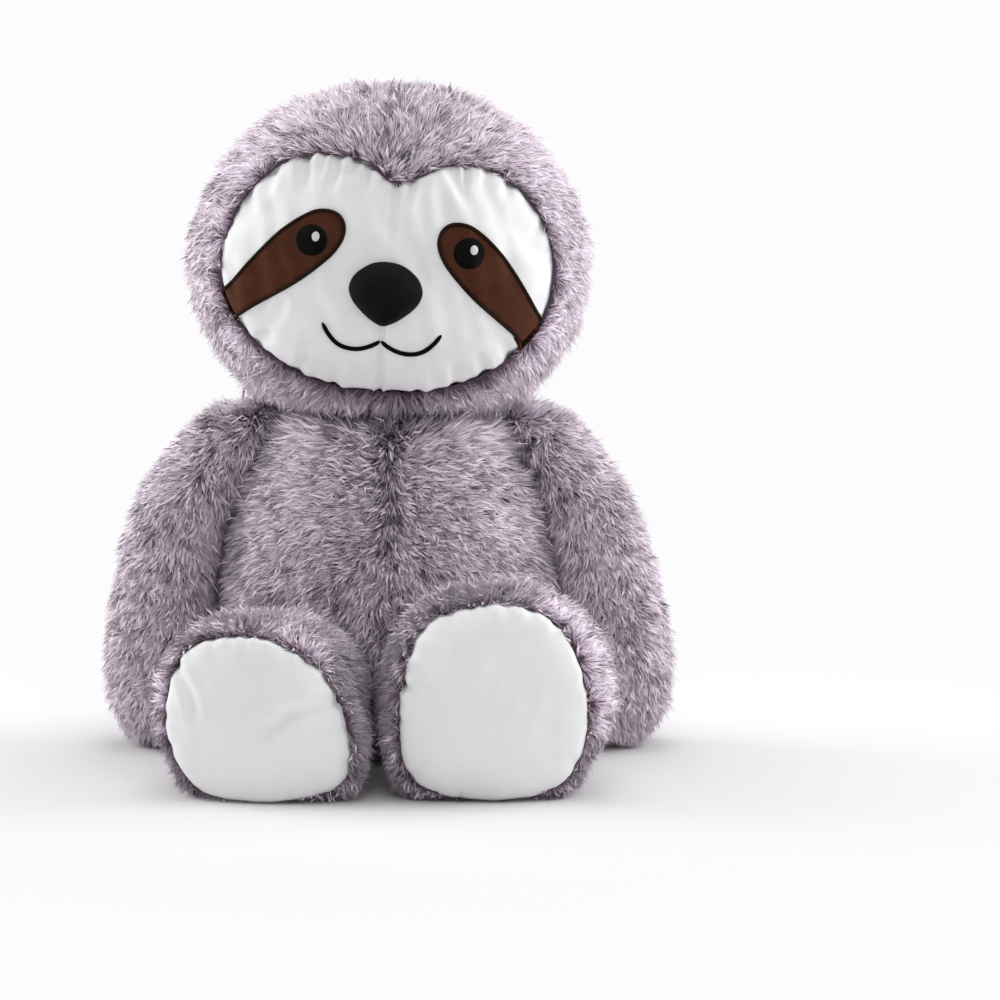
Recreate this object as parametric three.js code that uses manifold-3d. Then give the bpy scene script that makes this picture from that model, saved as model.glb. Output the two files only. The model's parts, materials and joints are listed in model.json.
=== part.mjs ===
// A weighted plush toy: a seated, long haired sloth with hanging arms and legs held forward.
// Millimetres, +Z up. The toy faces -Y and its own left hand is on the +X side.
// The origin is the middle of the flat seat under the body, on the surface it sits on.
import * as THREE from "three";
import { mergeVertices } from "three/addons/utils/BufferGeometryUtils.js";
import Module from "manifold-3d";

const wasm = await Module();
wasm.setup();

// Cloth, seams and gaps
const GAP = 0.3; // between pieces that touch or are sewn together
const PLUSH = 8; // long pile plush, its knitted back and its pile together
const SATIN = 3.5; // smooth plush of the face and the soles
const APPLIQUE = 1.2; // eye bands, eyes and the stitched mouth
const SEAM_DRAW = 3; // how far a seam draws the cloth in
const SEAM_SPREAD = 20; // degrees on each side of a seam over which the cloth swells out again
const SEAT_PRESS = 0.5; // how far the weight presses the seat and the legs flat

// Body
const BODY_WIDTH = 208;
const BODY_DEPTH = 184;
const BODY_HEIGHT = 204;
const BODY_TOP_DEPTH = 0.73; // depth over width at the neck
const NECK_FORWARD = 4; // the neck stands this far in front of the seat's middle
const SEAT_WIDTH = 132; // the oval cloth that the body sits on
const SEAT_DEPTH = 114;

// Neck
const NECK_RADIUS = 34;
const NECK_DEPTH = 28; // how far the neck's stuffing reaches down into the body
const NECK_HEIGHT = 6; // how far the neck's turning point lies under the top of the body
const NECK_PLAY = 0.6; // between the neck's stuffing and the openings it fills

// Head
const HEAD_WIDTH = 240;
const HEAD_DEPTH = 184;
const HEAD_HEIGHT = 195;
const HEAD_REST = 0.7; // the head's underside lies this far above the top of the body
const HEAD_FORWARD = 8;
const HEAD_ROLL = 6; // degrees, the face and the hood's seams lean to the toy's left
const HEAD_LEAN = 3; // the crown lies this far to the toy's left, and the chin to its right
const HEAD_TURN = 18; // degrees to each side
const HEAD_NOD = 6; // degrees forward
const HEAD_BACK = 5; // degrees backward

// Face, measured from the middle of the nose
const NOSE_ABOVE_CHIN = 73.5; // the nose lies this far over the underside of the head
const EYE_OUT = 44.6;
const EYE_UP = 24.8;
const EYE_RADIUS = 9.3;
const GLINT_RIGHT = 2.9;
const GLINT_UP = 1.9;
const GLINT_WIDTH = 4.7;
const GLINT_HEIGHT = 5.5;
const NOSE_WIDTH = 42.5;
const NOSE_HEIGHT = 37;
const NOSE_DEPTH = 15;
const NOSE_RIM = 0.35; // share of the nose's depth that its upright edge takes
const MOUTH_LINE = 2.4;

// Arms
const ARM_WIDTH = 72;
const ARM_SHOULDER_DEPTH = 1.2; // depth over width
const ARM_HAND_DEPTH = 1.1;
const ARM_ROOT = 36; // the arm's root lies this far inside the widest part of the body
const ARM_RISE = 9; // the arm's root lies this far above the top of the body
const ARM_CLEAR = 1; // the hands hang this far above the floor
const ARM_FORWARD = 2; // the upper arm bows this far forward
// Where each arm bends, as shares of its way out and of its height; the right arm lies further out
const LEFT_ARM = { upper: [0.66, 0.7], lower: [0.92, 0.38] };
const RIGHT_ARM = { upper: [0.74, 0.71], lower: [0.95, 0.4] };
const SHOULDER_OUT = 4; // the arm lifts about a point this far out from its root
const SHOULDER_DOWN = 7; // and this far under it
const ARM_LIFT = 45; // degrees sideways from the body
const HAND_BACK = 5;

// Legs: the toy's right leg turns out, the left one points forward and is stuffed fuller
const LEG_LENGTH = 168;
const LEG_ROOT = 56; // the leg's root lies this far inside the front of the body
const HIP_OUT = 53;
const LEG_RISE = 9; // the slender hip end lies this far lower, so that the leg rests along the floor
const SOLE_REACH = 50; // how deep the end of the leg is cut for the sole
const SOLE_LOW = 7; // the sole is set this far under the middle of the leg
const SOLE_SQUARE = 0.8; // 1 is an oval sole, and a smaller value a squarer one
const RIGHT_LEG = { width: 116, height: 107, footOut: 81, soleWidth: 98, soleHeight: 88 };
const LEFT_LEG = { width: 131, height: 123, footOut: 63, soleWidth: 109, soleHeight: 103 };

// Weights
const POUCH_CLOTH = 1.5;
const POUCH_WIDTH = 152;
const POUCH_DEPTH = 132;
const POUCH_HEIGHT = 66;
const HAND_WEIGHT = 46; // height of the bead bag in each hand
const FOOT_WEIGHT = 28; // depth of the bead bag in each foot

// Silhouettes: along the form from end to end, and the share of its greatest half width
const BODY_SHAPE = [
  [0, 0], [0, 0.42], [0.012, 0.7], [0.1, 0.9], [0.3, 1], [0.6, 0.95],
  [0.86, 0.82], [0.98, 0.64], [1, 0.36], [1, 0],
];
const HEAD_SHAPE = [
  [0, 0], [0.02, 0.42], [0.1, 0.74], [0.24, 0.92], [0.4, 1], [0.5, 1],
  [0.61, 0.96], [0.75, 0.85], [0.9, 0.6], [0.98, 0.27], [1, 0],
];
const ARM_SHAPE = [
  [0, 0], [0.015, 0.42], [0.09, 0.72], [0.3, 0.82], [0.55, 0.92], [0.8, 1],
  [0.93, 0.84], [0.99, 0.45], [1, 0],
];
const LEG_SHAPE = [
  [0, 0], [0.02, 0.5], [0.12, 0.78], [0.4, 0.9], [0.72, 1], [0.9, 0.97],
  [0.985, 0.76], [1, 0.4], [1, 0],
];
const POUCH_SHAPE = [
  [0, 0], [0, 0.6], [0.12, 0.9], [0.4, 1], [0.75, 0.88], [0.96, 0.5], [1, 0],
];

// Outlines on the face for the toy's left half, in millimetres from the middle of the nose
const FACE_EDGE = [
  [0, 60], [18, 68], [39, 74], [64, 67], [78, 54], [88, 38], [93, 17], [91, -6],
  [85, -20], [73, -34], [55, -47], [30, -56], [0, -59],
];
const BAND_EDGE = [
  [39, 41], [29.5, 36], [26, 27], [29, 17], [38, 7], [55, -6], [72, -18],
  [92, -30], [100, -6], [86, 4], [73, 15], [60, 27], [50, 37],
];
const NOSE_EDGE = [
  [0, 0.44], [0.3, 0.42], [0.46, 0.28], [0.5, 0.08], [0.38, -0.18], [0.2, -0.42], [0, -0.56],
];
const MOUTH_PATH = [
  [1, -30], [15.4, -35], [29, -30.5], [34.5, -22],
];

const whole = 2000; // larger than the toy, for the boxes that divide it

// Geometry to solid and back
function toSolid(geometry) {
  const bare = geometry.clone();
  bare.deleteAttribute("normal");
  bare.deleteAttribute("uv");
  const merged = mergeVertices(bare);
  return new wasm.Manifold(
    new wasm.Mesh({
      numProp: 3,
      vertProperties: new Float32Array(merged.attributes.position.array),
      triVerts: new Uint32Array(merged.index.array),
    }),
  );
}

function toGeometry(solid) {
  const mesh = solid.getMesh();
  const geometry = new THREE.BufferGeometry();
  geometry.setAttribute("position", new THREE.BufferAttribute(mesh.vertProperties, 3));
  geometry.setIndex(new THREE.BufferAttribute(mesh.triVerts, 1));
  return geometry;
}

// A closed surface through rings with the same number of points, pointed at both ends
function closedLoft(start, rings, end) {
  const count = rings[0].length;
  const points = [start, ...rings.flat(), end];
  const last = points.length - 1;
  const index = [];
  const at = (ring, i) => 1 + ring * count + (i % count);
  for (let i = 0; i < count; i++) {
    index.push(0, at(0, i + 1), at(0, i));
    index.push(last, at(rings.length - 1, i), at(rings.length - 1, i + 1));
    for (let ring = 0; ring < rings.length - 1; ring++) {
      index.push(at(ring, i), at(ring, i + 1), at(ring + 1, i + 1));
      index.push(at(ring, i), at(ring + 1, i + 1), at(ring + 1, i));
    }
  }
  const geometry = new THREE.BufferGeometry().setFromPoints(points);
  geometry.setIndex(index);
  return geometry;
}

// How far a seam draws the section in at this angle, from 0 to 1
function seamPull(angle, seams) {
  const nearest = seams.map((seam) => Math.abs(((angle - seam + 540) % 360) - 180));
  return Math.max(0, 1 - Math.min(...nearest, 360) / SEAM_SPREAD);
}

// A stuffed form: rounded sections along a curved axis, swelling between its seams
function stuffedForm(form) {
  const { axis, side, shape, halfWidth, startDepth, endDepth, seams, points, rings } = form;
  const length = axis.getLength();
  const outline = new THREE.SplineCurve(
    shape.map(([along, across]) => new THREE.Vector2(along * length, across * halfWidth)),
  );
  const sections = outline.getSpacedPoints(rings + 1).map(({ x, y }) => {
    const share = THREE.MathUtils.clamp(x / length, 0, 1);
    const centre = axis.getPointAt(share);
    const along = axis.getTangentAt(share);
    const width = side.clone().addScaledVector(along, -side.dot(along)).normalize();
    const depth = along.clone().cross(width);
    const ratio = THREE.MathUtils.lerp(startDepth, endDepth, share);
    return Array.from({ length: points }, (_, i) => {
      const degrees = (360 * i) / points;
      const angle = THREE.MathUtils.degToRad(degrees);
      const draw = (SEAM_DRAW * seamPull(degrees, seams) * y) / halfWidth;
      return centre
        .clone()
        .addScaledVector(width, (y - draw) * Math.cos(angle))
        .addScaledVector(depth, (y * ratio - draw) * Math.sin(angle));
    });
  });
  return closedLoft(sections[0][0], sections.slice(1, -1), sections.at(-1)[0]);
}

// The same closed surface moved in along its normals, or out where the distance is negative
function movedIn(geometry, distance) {
  const moved = geometry.clone();
  moved.computeVertexNormals();
  const { position, normal } = moved.attributes;
  for (let i = 0; i < position.count; i++) {
    position.setXYZ(
      i,
      position.getX(i) - normal.getX(i) * distance,
      position.getY(i) - normal.getY(i) * distance,
      position.getZ(i) - normal.getZ(i) * distance,
    );
  }
  return moved;
}

// The half of space on one side of a plane, as a large box
function halfSpace(normal, point, gap) {
  const box = new THREE.BoxGeometry(whole, whole, whole);
  const turn = new THREE.Quaternion().setFromUnitVectors(new THREE.Vector3(0, 0, 1), normal);
  box.applyQuaternion(turn);
  const middle = point.clone().addScaledVector(normal, whole / 2 + gap);
  return toSolid(box.translate(middle.x, middle.y, middle.z));
}

// The two sides of a seam that runs in a plane, half a gap to each side of it
function splitAt(solid, normal, point) {
  const back = normal.clone().negate();
  return [
    solid.intersect(halfSpace(normal, point, GAP / 2)),
    solid.intersect(halfSpace(back, point, GAP / 2)),
  ];
}

const aboveFloor = halfSpace(new THREE.Vector3(0, 0, 1), new THREE.Vector3(), 0);

// How far the nose lies under the middle of the head
const noseDrop = HEAD_HEIGHT / 2 - NOSE_ABOVE_CHIN;

// Closed outlines in the plane of the face
function smoothOutline(drawing) {
  const points = drawing.map(([u, v]) => new THREE.Vector2(u, v));
  return new THREE.SplineCurve([...points, points[0]]).getPoints(points.length * 2).slice(0, -1);
}

function symmetricOutline(half) {
  const otherHalf = half.slice(1, -1).map(([u, v]) => [-u, v]);
  return smoothOutline([...half, ...otherHalf.reverse()]);
}

function roundOutline(u, v, width, height) {
  const curve = new THREE.EllipseCurve(u, v, width / 2, height / 2);
  return curve.getPoints(14).slice(0, -1);
}

function lineOutline(path, width) {
  const curve = new THREE.SplineCurve(path.map(([u, v]) => new THREE.Vector2(u, v)));
  const steps = 8;
  const edge = (side) =>
    Array.from({ length: steps + 1 }, (_, i) => {
      const along = curve.getTangentAt(i / steps);
      const across = new THREE.Vector2(along.y, -along.x).multiplyScalar((side * width) / 2);
      return curve.getPointAt(i / steps).add(across);
    });
  return [...edge(1), ...edge(-1).reverse()];
}

function mirrored(outline) {
  return outline.map((p) => new THREE.Vector2(-p.x, p.y));
}

// A straight prism from an outline on the face, from the middle of the head out to the front
function facePrism(outline, grow = 0) {
  const round = THREE.ShapeUtils.isClockWise(outline) ? [...outline].reverse() : outline;
  const grown = round.map((p, i) => {
    const before = round.at(i - 1);
    const after = round[(i + 1) % round.length];
    const out = new THREE.Vector2(after.y - before.y, before.x - after.x).normalize();
    return p.clone().addScaledVector(out, grow);
  });
  const shape = new THREE.Shape(grown);
  const prism = new THREE.ExtrudeGeometry(shape, { depth: HEAD_DEPTH, bevelEnabled: false });
  return toSolid(prism.rotateX(Math.PI / 2).translate(0, 0, -noseDrop));
}

// Named parts
const toy = new THREE.Group();

const cloths = {
  plush: { color: "#b7abb7", roughness: 0.95 },
  satin: { color: "#e8e5e6", roughness: 0.7 },
  band: { color: "#47261a", roughness: 0.45 },
  thread: { color: "#12110e", roughness: 0.6 },
  glint: { color: "#f4f4f2", roughness: 0.5 },
  nose: { color: "#171a19", roughness: 0.85 },
  stuffing: { color: "#f3f2ee", roughness: 1 },
  pouch: { color: "#e4ddcf", roughness: 0.9 },
  beads: { color: "#d5e2e4", roughness: 0.2 },
};

function addPart(name, solid, cloth) {
  const material = new THREE.MeshStandardMaterial({ ...cloths[cloth], metalness: 0 });
  const mesh = new THREE.Mesh(toGeometry(solid), material);
  mesh.name = name;
  toy.add(mesh);
}

const along = {
  x: new THREE.Vector3(1, 0, 0),
  y: new THREE.Vector3(0, 1, 0),
  z: new THREE.Vector3(0, 0, 1),
};

// Body: a pear of four plush panels, sewn down the front, the back and both sides
function bodyForm() {
  return stuffedForm({
    axis: new THREE.CatmullRomCurve3([
      new THREE.Vector3(0, 0, -SEAT_PRESS),
      new THREE.Vector3(0, 0, BODY_HEIGHT * 0.4),
      new THREE.Vector3(0, -NECK_FORWARD, BODY_HEIGHT),
    ]),
    side: along.x,
    shape: BODY_SHAPE,
    halfWidth: BODY_WIDTH / 2,
    startDepth: BODY_DEPTH / BODY_WIDTH,
    endDepth: BODY_TOP_DEPTH,
    seams: [0, 90, 180, 270],
    points: 24,
    rings: 10,
  });
}

// Neck: a ball of stuffing on a short stem, which the head turns and nods on
const neckPoint = new THREE.Vector3(0, -NECK_FORWARD, BODY_HEIGHT - NECK_HEIGHT);

function neckSolid(gap) {
  const radius = NECK_RADIUS + gap;
  const ball = new THREE.EllipseCurve(0, 0, radius, radius, 0, Math.PI / 2).getPoints(5);
  ball[ball.length - 1].x = 0;
  const stem = new THREE.Vector2(radius, -NECK_DEPTH - gap);
  const foot = new THREE.Vector2(0, stem.y);
  const lathe = new THREE.LatheGeometry([foot, stem, ...ball], 24);
  return toSolid(lathe.rotateX(Math.PI / 2).translate(...neckPoint.toArray()));
}

// Head: wider than deep, domed crown, cheeks that tuck in under the chin
const headPlace = new THREE.Matrix4()
  .makeTranslation(
    0,
    -HEAD_FORWARD,
    BODY_HEIGHT + HEAD_REST + HEAD_HEIGHT / 2,
  )
  .multiply(new THREE.Matrix4().makeRotationY(THREE.MathUtils.degToRad(HEAD_ROLL)));

function headForm() {
  const bag = stuffedForm({
    axis: new THREE.CatmullRomCurve3([
      new THREE.Vector3(-HEAD_LEAN, 0, -HEAD_HEIGHT / 2),
      new THREE.Vector3(0, 0, 0),
      new THREE.Vector3(HEAD_LEAN, 0, HEAD_HEIGHT / 2),
    ]),
    side: along.x,
    shape: HEAD_SHAPE,
    halfWidth: HEAD_WIDTH / 2,
    startDepth: HEAD_DEPTH / HEAD_WIDTH,
    endDepth: HEAD_DEPTH / HEAD_WIDTH,
    seams: [90, 270],
    points: 24,
    rings: 12,
  });
  return bag.rotateY(-THREE.MathUtils.degToRad(HEAD_ROLL));
}

// Arms: long, slender at the shoulder and full at the hand, hanging beside the body
const shoulder = BODY_WIDTH / 2 - ARM_ROOT;
const top = BODY_HEIGHT + ARM_RISE;

// The point that the arm lifts about, just under the top of its root
const shoulderPoint = (hand) =>
  new THREE.Vector3(hand * (shoulder + SHOULDER_OUT), 0, top - SHOULDER_DOWN);

function armForm(arm, hand) {
  const reach = BODY_WIDTH / 2 + ARM_WIDTH / 2;
  const bend = ([out, up], y) =>
    new THREE.Vector3(hand * (shoulder + out * (reach - shoulder)), y, top * up);
  return stuffedForm({
    axis: new THREE.CatmullRomCurve3([
      new THREE.Vector3(hand * shoulder, 0, top),
      bend(arm.upper, -ARM_FORWARD),
      bend(arm.lower, 0),
      new THREE.Vector3(hand * reach, HAND_BACK, ARM_CLEAR),
    ]),
    side: along.x.clone().negate(),
    shape: ARM_SHAPE,
    halfWidth: ARM_WIDTH / 2,
    startDepth: ARM_SHOULDER_DEPTH,
    endDepth: ARM_HAND_DEPTH,
    seams: [0, 180],
    points: 16,
    rings: 10,
  });
}

// Legs: short and full, with a seam along the top and the bottom and a sole at the end
function legAxis(leg, hand) {
  const back = LEG_ROOT - BODY_DEPTH / 2;
  const middleHeight = leg.height / 2 - SEAT_PRESS;
  const hip = new THREE.Vector3(hand * HIP_OUT, back, middleHeight - LEG_RISE);
  const foot = new THREE.Vector3(hand * leg.footOut, back - LEG_LENGTH, middleHeight);
  return [hip, foot];
}

function legForm(leg, hand) {
  const [hip, foot] = legAxis(leg, hand);
  return stuffedForm({
    axis: new THREE.CatmullRomCurve3([hip, hip.clone().lerp(foot, 0.5), foot]),
    side: along.x,
    shape: LEG_SHAPE,
    halfWidth: leg.width / 2,
    startDepth: leg.height / leg.width,
    endDepth: leg.height / leg.width,
    seams: [90],
    points: 20,
    rings: 10,
  });
}

// A solid turned about an axis through a point
function turned(solid, point, axis, degrees) {
  const matrix = new THREE.Matrix4()
    .makeTranslation(point)
    .multiply(new THREE.Matrix4().makeRotationAxis(axis, THREE.MathUtils.degToRad(degrees)))
    .multiply(new THREE.Matrix4().makeTranslation(point.clone().negate()));
  return solid.transform(matrix.toArray());
}

// All the room that the head takes up as it nods and turns
const head = headForm();
function headReach(distance) {
  const upright = toSolid(movedIn(head, -distance)).transform(headPlace.toArray());
  const nods = [-HEAD_BACK, 0, HEAD_NOD];
  const turns = [-HEAD_TURN, -HEAD_TURN / 2, 0, HEAD_TURN / 2, HEAD_TURN];
  return nods
    .map((nod) => turned(upright, neckPoint, along.x, nod))
    .flatMap((nodded) => turns.map((turn) => turned(nodded, neckPoint, along.z, turn)))
    .reduce((all, one) => all.add(one));
}

// A prism with a round or squarer end, through a place given as its side, axis and centre
function roundPrism({ width, height, depth, square = 1, side, axis, centre }) {
  const prism = new THREE.CylinderGeometry(1, 1, depth, 28);
  const { position } = prism.attributes;
  const bulge = (value) => Math.sign(value) * Math.abs(value) ** square;
  for (let i = 0; i < position.count; i++) {
    position.setX(i, (bulge(position.getX(i)) * width) / 2);
    position.setZ(i, (bulge(position.getZ(i)) * height) / 2);
  }
  const place = new THREE.Matrix4().makeBasis(side, axis, side.clone().cross(axis));
  return toSolid(prism.applyMatrix4(place.setPosition(centre)));
}

// The body panels, with the opening that the neck's stuffing passes through
const body = bodyForm();
const bodyOuter = toSolid(body)
  .intersect(aboveFloor)
  .subtract(neckSolid(NECK_PLAY))
  .subtract(headReach(GAP));
const bodySkin = bodyOuter.subtract(toSolid(movedIn(body, PLUSH)));
const middle = new THREE.Vector3(0, 0, 0);
const seatPrism = (gap) =>
  roundPrism({
    width: SEAT_WIDTH - 2 * gap,
    height: SEAT_DEPTH - 2 * gap,
    depth: 4 * PLUSH,
    side: along.x,
    axis: along.z,
    centre: middle,
  });
addPart("body_seat_panel", bodySkin.intersect(seatPrism(GAP)), "plush");
const [skinLeft, skinRight] = splitAt(bodySkin.subtract(seatPrism(0)), along.x, middle);
const [backLeft, frontLeft] = splitAt(skinLeft, along.y, middle);
const [backRight, frontRight] = splitAt(skinRight, along.y, middle);
addPart("body_front_left_panel", frontLeft, "plush");
addPart("body_front_right_panel", frontRight, "plush");
addPart("body_back_left_panel", backLeft, "plush");
addPart("body_back_right_panel", backRight, "plush");

// The bead pouch lies on the seat, two round cloths sewn at the rim, with stuffing above it
function pouchForm() {
  const floor = PLUSH + GAP - SEAT_PRESS;
  return stuffedForm({
    axis: new THREE.CatmullRomCurve3([
      new THREE.Vector3(0, 0, floor),
      new THREE.Vector3(0, 0, floor + POUCH_HEIGHT / 2),
      new THREE.Vector3(0, 0, floor + POUCH_HEIGHT),
    ]),
    side: along.x,
    shape: POUCH_SHAPE,
    halfWidth: POUCH_WIDTH / 2,
    startDepth: POUCH_DEPTH / POUCH_WIDTH,
    endDepth: POUCH_DEPTH / POUCH_WIDTH,
    seams: [],
    points: 20,
    rings: 7,
  });
}
const pouch = pouchForm();
const pouchSkin = toSolid(pouch).subtract(toSolid(movedIn(pouch, POUCH_CLOTH)));
const pouchRim = new THREE.Vector3(0, 0, PLUSH + POUCH_HEIGHT * 0.4);
const [pouchTop, pouchBottom] = splitAt(pouchSkin, along.z, pouchRim);
addPart("bead_pouch_top", pouchTop, "pouch");
addPart("bead_pouch_bottom", pouchBottom, "pouch");
addPart("glass_beads", toSolid(movedIn(pouch, POUCH_CLOTH + GAP)), "beads");
const bodyFilling = toSolid(movedIn(body, PLUSH + GAP))
  .subtract(toSolid(movedIn(pouch, -GAP)))
  .subtract(neckSolid(NECK_PLAY));
addPart("body_filling", bodyFilling, "stuffing");
addPart("neck_filling", neckSolid(0), "stuffing");

// The head, built with its face level and then rolled to its place
const headLayer = (outer, inner) =>
  toSolid(movedIn(head, outer)).subtract(toSolid(movedIn(head, inner)));
const headMatrix = headPlace.toArray();
const onHead = (solid) => solid.transform(headMatrix);
const neckSocket = neckSolid(NECK_PLAY);

const faceOutline = symmetricOutline(FACE_EDGE);
const hood = headLayer(0, PLUSH).subtract(facePrism(faceOutline));
const [hoodLeft, hoodRight] = splitAt(hood, along.x, middle);
addPart("head_left_panel", onHead(hoodLeft).subtract(neckSocket), "plush");
addPart("head_right_panel", onHead(hoodRight).subtract(neckSocket), "plush");
const headFilling = onHead(toSolid(movedIn(head, PLUSH + GAP))).subtract(neckSocket);
addPart("head_filling", headFilling, "stuffing");

const faceTop = PLUSH - SATIN;
const withinFace = facePrism(faceOutline, -GAP);
const faceCloth = headLayer(faceTop, PLUSH).intersect(withinFace);
addPart("face_panel", onHead(faceCloth), "satin");

const bandTop = faceTop - GAP - APPLIQUE;
const eyeTop = bandTop - GAP - APPLIQUE;
const bandLayer = headLayer(bandTop, bandTop + APPLIQUE);
const eyeLayer = headLayer(eyeTop, eyeTop + APPLIQUE);
const leftBand = smoothOutline(BAND_EDGE);

for (const [name, hand] of [["left", 1], ["right", -1]]) {
  const bandOutline = hand > 0 ? leftBand : mirrored(leftBand);
  const band = bandLayer.intersect(facePrism(bandOutline)).intersect(withinFace);
  addPart(`eye_band_${name}`, onHead(band), "band");
  const eye = facePrism(roundOutline(hand * EYE_OUT, EYE_UP, 2 * EYE_RADIUS, 2 * EYE_RADIUS));
  const glintOutline = roundOutline(
    hand * EYE_OUT + GLINT_RIGHT,
    EYE_UP + GLINT_UP,
    GLINT_WIDTH,
    GLINT_HEIGHT,
  );
  const pupil = eyeLayer.intersect(eye).subtract(facePrism(glintOutline, GAP));
  addPart(`eye_${name}`, onHead(pupil), "thread");
  addPart(`eye_glint_${name}`, onHead(eyeLayer.intersect(facePrism(glintOutline))), "glint");
}

const mouthLeft = lineOutline(MOUTH_PATH, MOUTH_LINE);
addPart("mouth_left", onHead(bandLayer.intersect(facePrism(mouthLeft))), "thread");
addPart("mouth_right", onHead(bandLayer.intersect(facePrism(mirrored(mouthLeft)))), "thread");

// The nose is a padded triangle, domed from its edge to its middle
function noseForm() {
  const half = NOSE_EDGE.map(([u, v]) => [u * NOSE_WIDTH, v * NOSE_HEIGHT]);
  const outline = symmetricOutline(half).reverse();
  const front = faceTop - HEAD_DEPTH / 2;
  const place = (share, y) =>
    outline.map((p) => new THREE.Vector3(p.x * share, y, p.y * share - noseDrop));
  const steps = 5;
  const dome = Array.from({ length: steps }, (_, i) => {
    const angle = (Math.PI / 2) * (i / steps);
    const depth = NOSE_DEPTH * (NOSE_RIM + (1 - NOSE_RIM) * Math.sin(angle));
    return place(Math.cos(angle), front - depth);
  });
  const rings = [place(1, front + HEAD_DEPTH / 4), ...dome];
  const start = new THREE.Vector3(0, front + HEAD_DEPTH / 4, -noseDrop);
  const end = new THREE.Vector3(0, front - NOSE_DEPTH, -noseDrop);
  return closedLoft(start, rings, end);
}
const nose = toSolid(noseForm()).subtract(toSolid(movedIn(head, faceTop - GAP)));
addPart("nose", onHead(nose), "nose");

// Arms, pressed against the body and sewn to it at the shoulder, free of the head as they lift
const bodyReach = (distance) => toSolid(movedIn(body, -distance));

function shoulderReach(hand, distance) {
  const shoulder = shoulderPoint(hand);
  const around = bodyReach(distance).add(headReach(distance));
  const lifts = [0, 0.25, 0.5, 0.75, 1];
  return lifts
    .map((share) => turned(around, shoulder, along.y, hand * share * ARM_LIFT))
    .reduce((all, one) => all.add(one));
}

function addArm(name, arm, hand) {
  const form = armForm(arm, hand);
  const outer = toSolid(form).subtract(shoulderReach(hand, GAP));
  const hollow = toSolid(movedIn(form, PLUSH)).subtract(shoulderReach(hand, PLUSH + GAP));
  const inside = toSolid(movedIn(form, PLUSH + GAP))
    .subtract(shoulderReach(hand, PLUSH + 2 * GAP));
  const [back, front] = splitAt(outer.subtract(hollow), along.y, middle);
  addPart(`arm_${name}_front_panel`, front, "plush");
  addPart(`arm_${name}_back_panel`, back, "plush");
  const [above, below] = splitAt(inside, along.z, new THREE.Vector3(0, 0, HAND_WEIGHT + PLUSH));
  addPart(`arm_${name}_filling`, above, "stuffing");
  addPart(`arm_${name}_bead_bag`, below, "beads");
}
addArm("left", LEFT_ARM, 1);
addArm("right", RIGHT_ARM, -1);

// Legs, with the sole let into the end so that the pile stands round it as a rim
function addLeg(name, leg, hand) {
  const form = legForm(leg, hand);
  const [hip, foot] = legAxis(leg, hand);
  const forward = foot.clone().sub(hip).normalize();
  const across = forward.clone().cross(along.z).normalize();
  const sole = (gap) =>
    roundPrism({
      width: leg.soleWidth - 2 * gap,
      height: leg.soleHeight - 2 * gap,
      depth: SOLE_REACH,
      square: SOLE_SQUARE,
      side: across,
      axis: forward,
      centre: foot.clone().addScaledVector(along.z, -SOLE_LOW),
    });
  const outer = toSolid(form).subtract(bodyReach(GAP)).intersect(aboveFloor);
  const hollow = toSolid(movedIn(form, PLUSH)).subtract(bodyReach(PLUSH + GAP));
  const inside = toSolid(movedIn(form, PLUSH + GAP)).subtract(bodyReach(PLUSH + 2 * GAP));
  const skin = outer.subtract(hollow).subtract(sole(0));
  const [one, other] = splitAt(skin, across, hip);
  const [inner, outerSide] = across.x * hand < 0 ? [one, other] : [other, one];
  addPart(`leg_${name}_inner_panel`, inner, "plush");
  addPart(`leg_${name}_outer_panel`, outerSide, "plush");
  const soleSolid = toSolid(movedIn(form, PLUSH - SATIN))
    .subtract(toSolid(movedIn(form, PLUSH)))
    .intersect(sole(GAP));
  addPart(`leg_${name}_sole`, soleSolid, "satin");
  const weightStart = foot.clone().addScaledVector(forward, -FOOT_WEIGHT - PLUSH);
  const [end, root] = splitAt(inside, forward, weightStart);
  addPart(`leg_${name}_filling`, root, "stuffing");
  addPart(`leg_${name}_bead_bag`, end, "beads");
}
addLeg("left", LEFT_LEG, 1);
addLeg("right", RIGHT_LEG, -1);

export default toy;
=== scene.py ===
# A seated, bead weighted plush sloth, dressed with its pile, its face and its smooth soles.
import json
import math

import bmesh
import bpy
import numpy as np
from mathutils import Matrix, Vector, noise
from mathutils.bvhtree import BVHTree

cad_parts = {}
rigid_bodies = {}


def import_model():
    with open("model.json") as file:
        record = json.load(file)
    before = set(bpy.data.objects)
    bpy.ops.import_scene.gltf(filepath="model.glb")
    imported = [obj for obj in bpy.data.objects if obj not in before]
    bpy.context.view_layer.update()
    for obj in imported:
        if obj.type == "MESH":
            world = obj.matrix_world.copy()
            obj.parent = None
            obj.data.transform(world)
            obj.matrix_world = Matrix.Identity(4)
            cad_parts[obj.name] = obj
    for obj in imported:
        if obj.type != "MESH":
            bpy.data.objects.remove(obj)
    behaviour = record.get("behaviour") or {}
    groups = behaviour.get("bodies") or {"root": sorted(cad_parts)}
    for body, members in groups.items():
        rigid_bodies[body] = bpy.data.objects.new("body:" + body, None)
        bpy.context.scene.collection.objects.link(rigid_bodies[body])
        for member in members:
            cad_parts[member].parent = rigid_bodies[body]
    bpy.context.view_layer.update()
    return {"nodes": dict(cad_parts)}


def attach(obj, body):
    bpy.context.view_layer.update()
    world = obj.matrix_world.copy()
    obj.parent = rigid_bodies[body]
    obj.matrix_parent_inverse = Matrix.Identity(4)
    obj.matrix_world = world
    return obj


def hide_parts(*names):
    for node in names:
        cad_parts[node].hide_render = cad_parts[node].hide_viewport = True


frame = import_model()
nodes = frame["nodes"]

# ---- Body plush ----
# A pear shaped bag of four plush panels sewn down the front, the back and both sides, closed
# below by an oval seat cloth and turned in at the top round the neck. The cloth is a knitted back
# with a long soft pile, which is brushed outward from the front seam and down over the belly.


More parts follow.
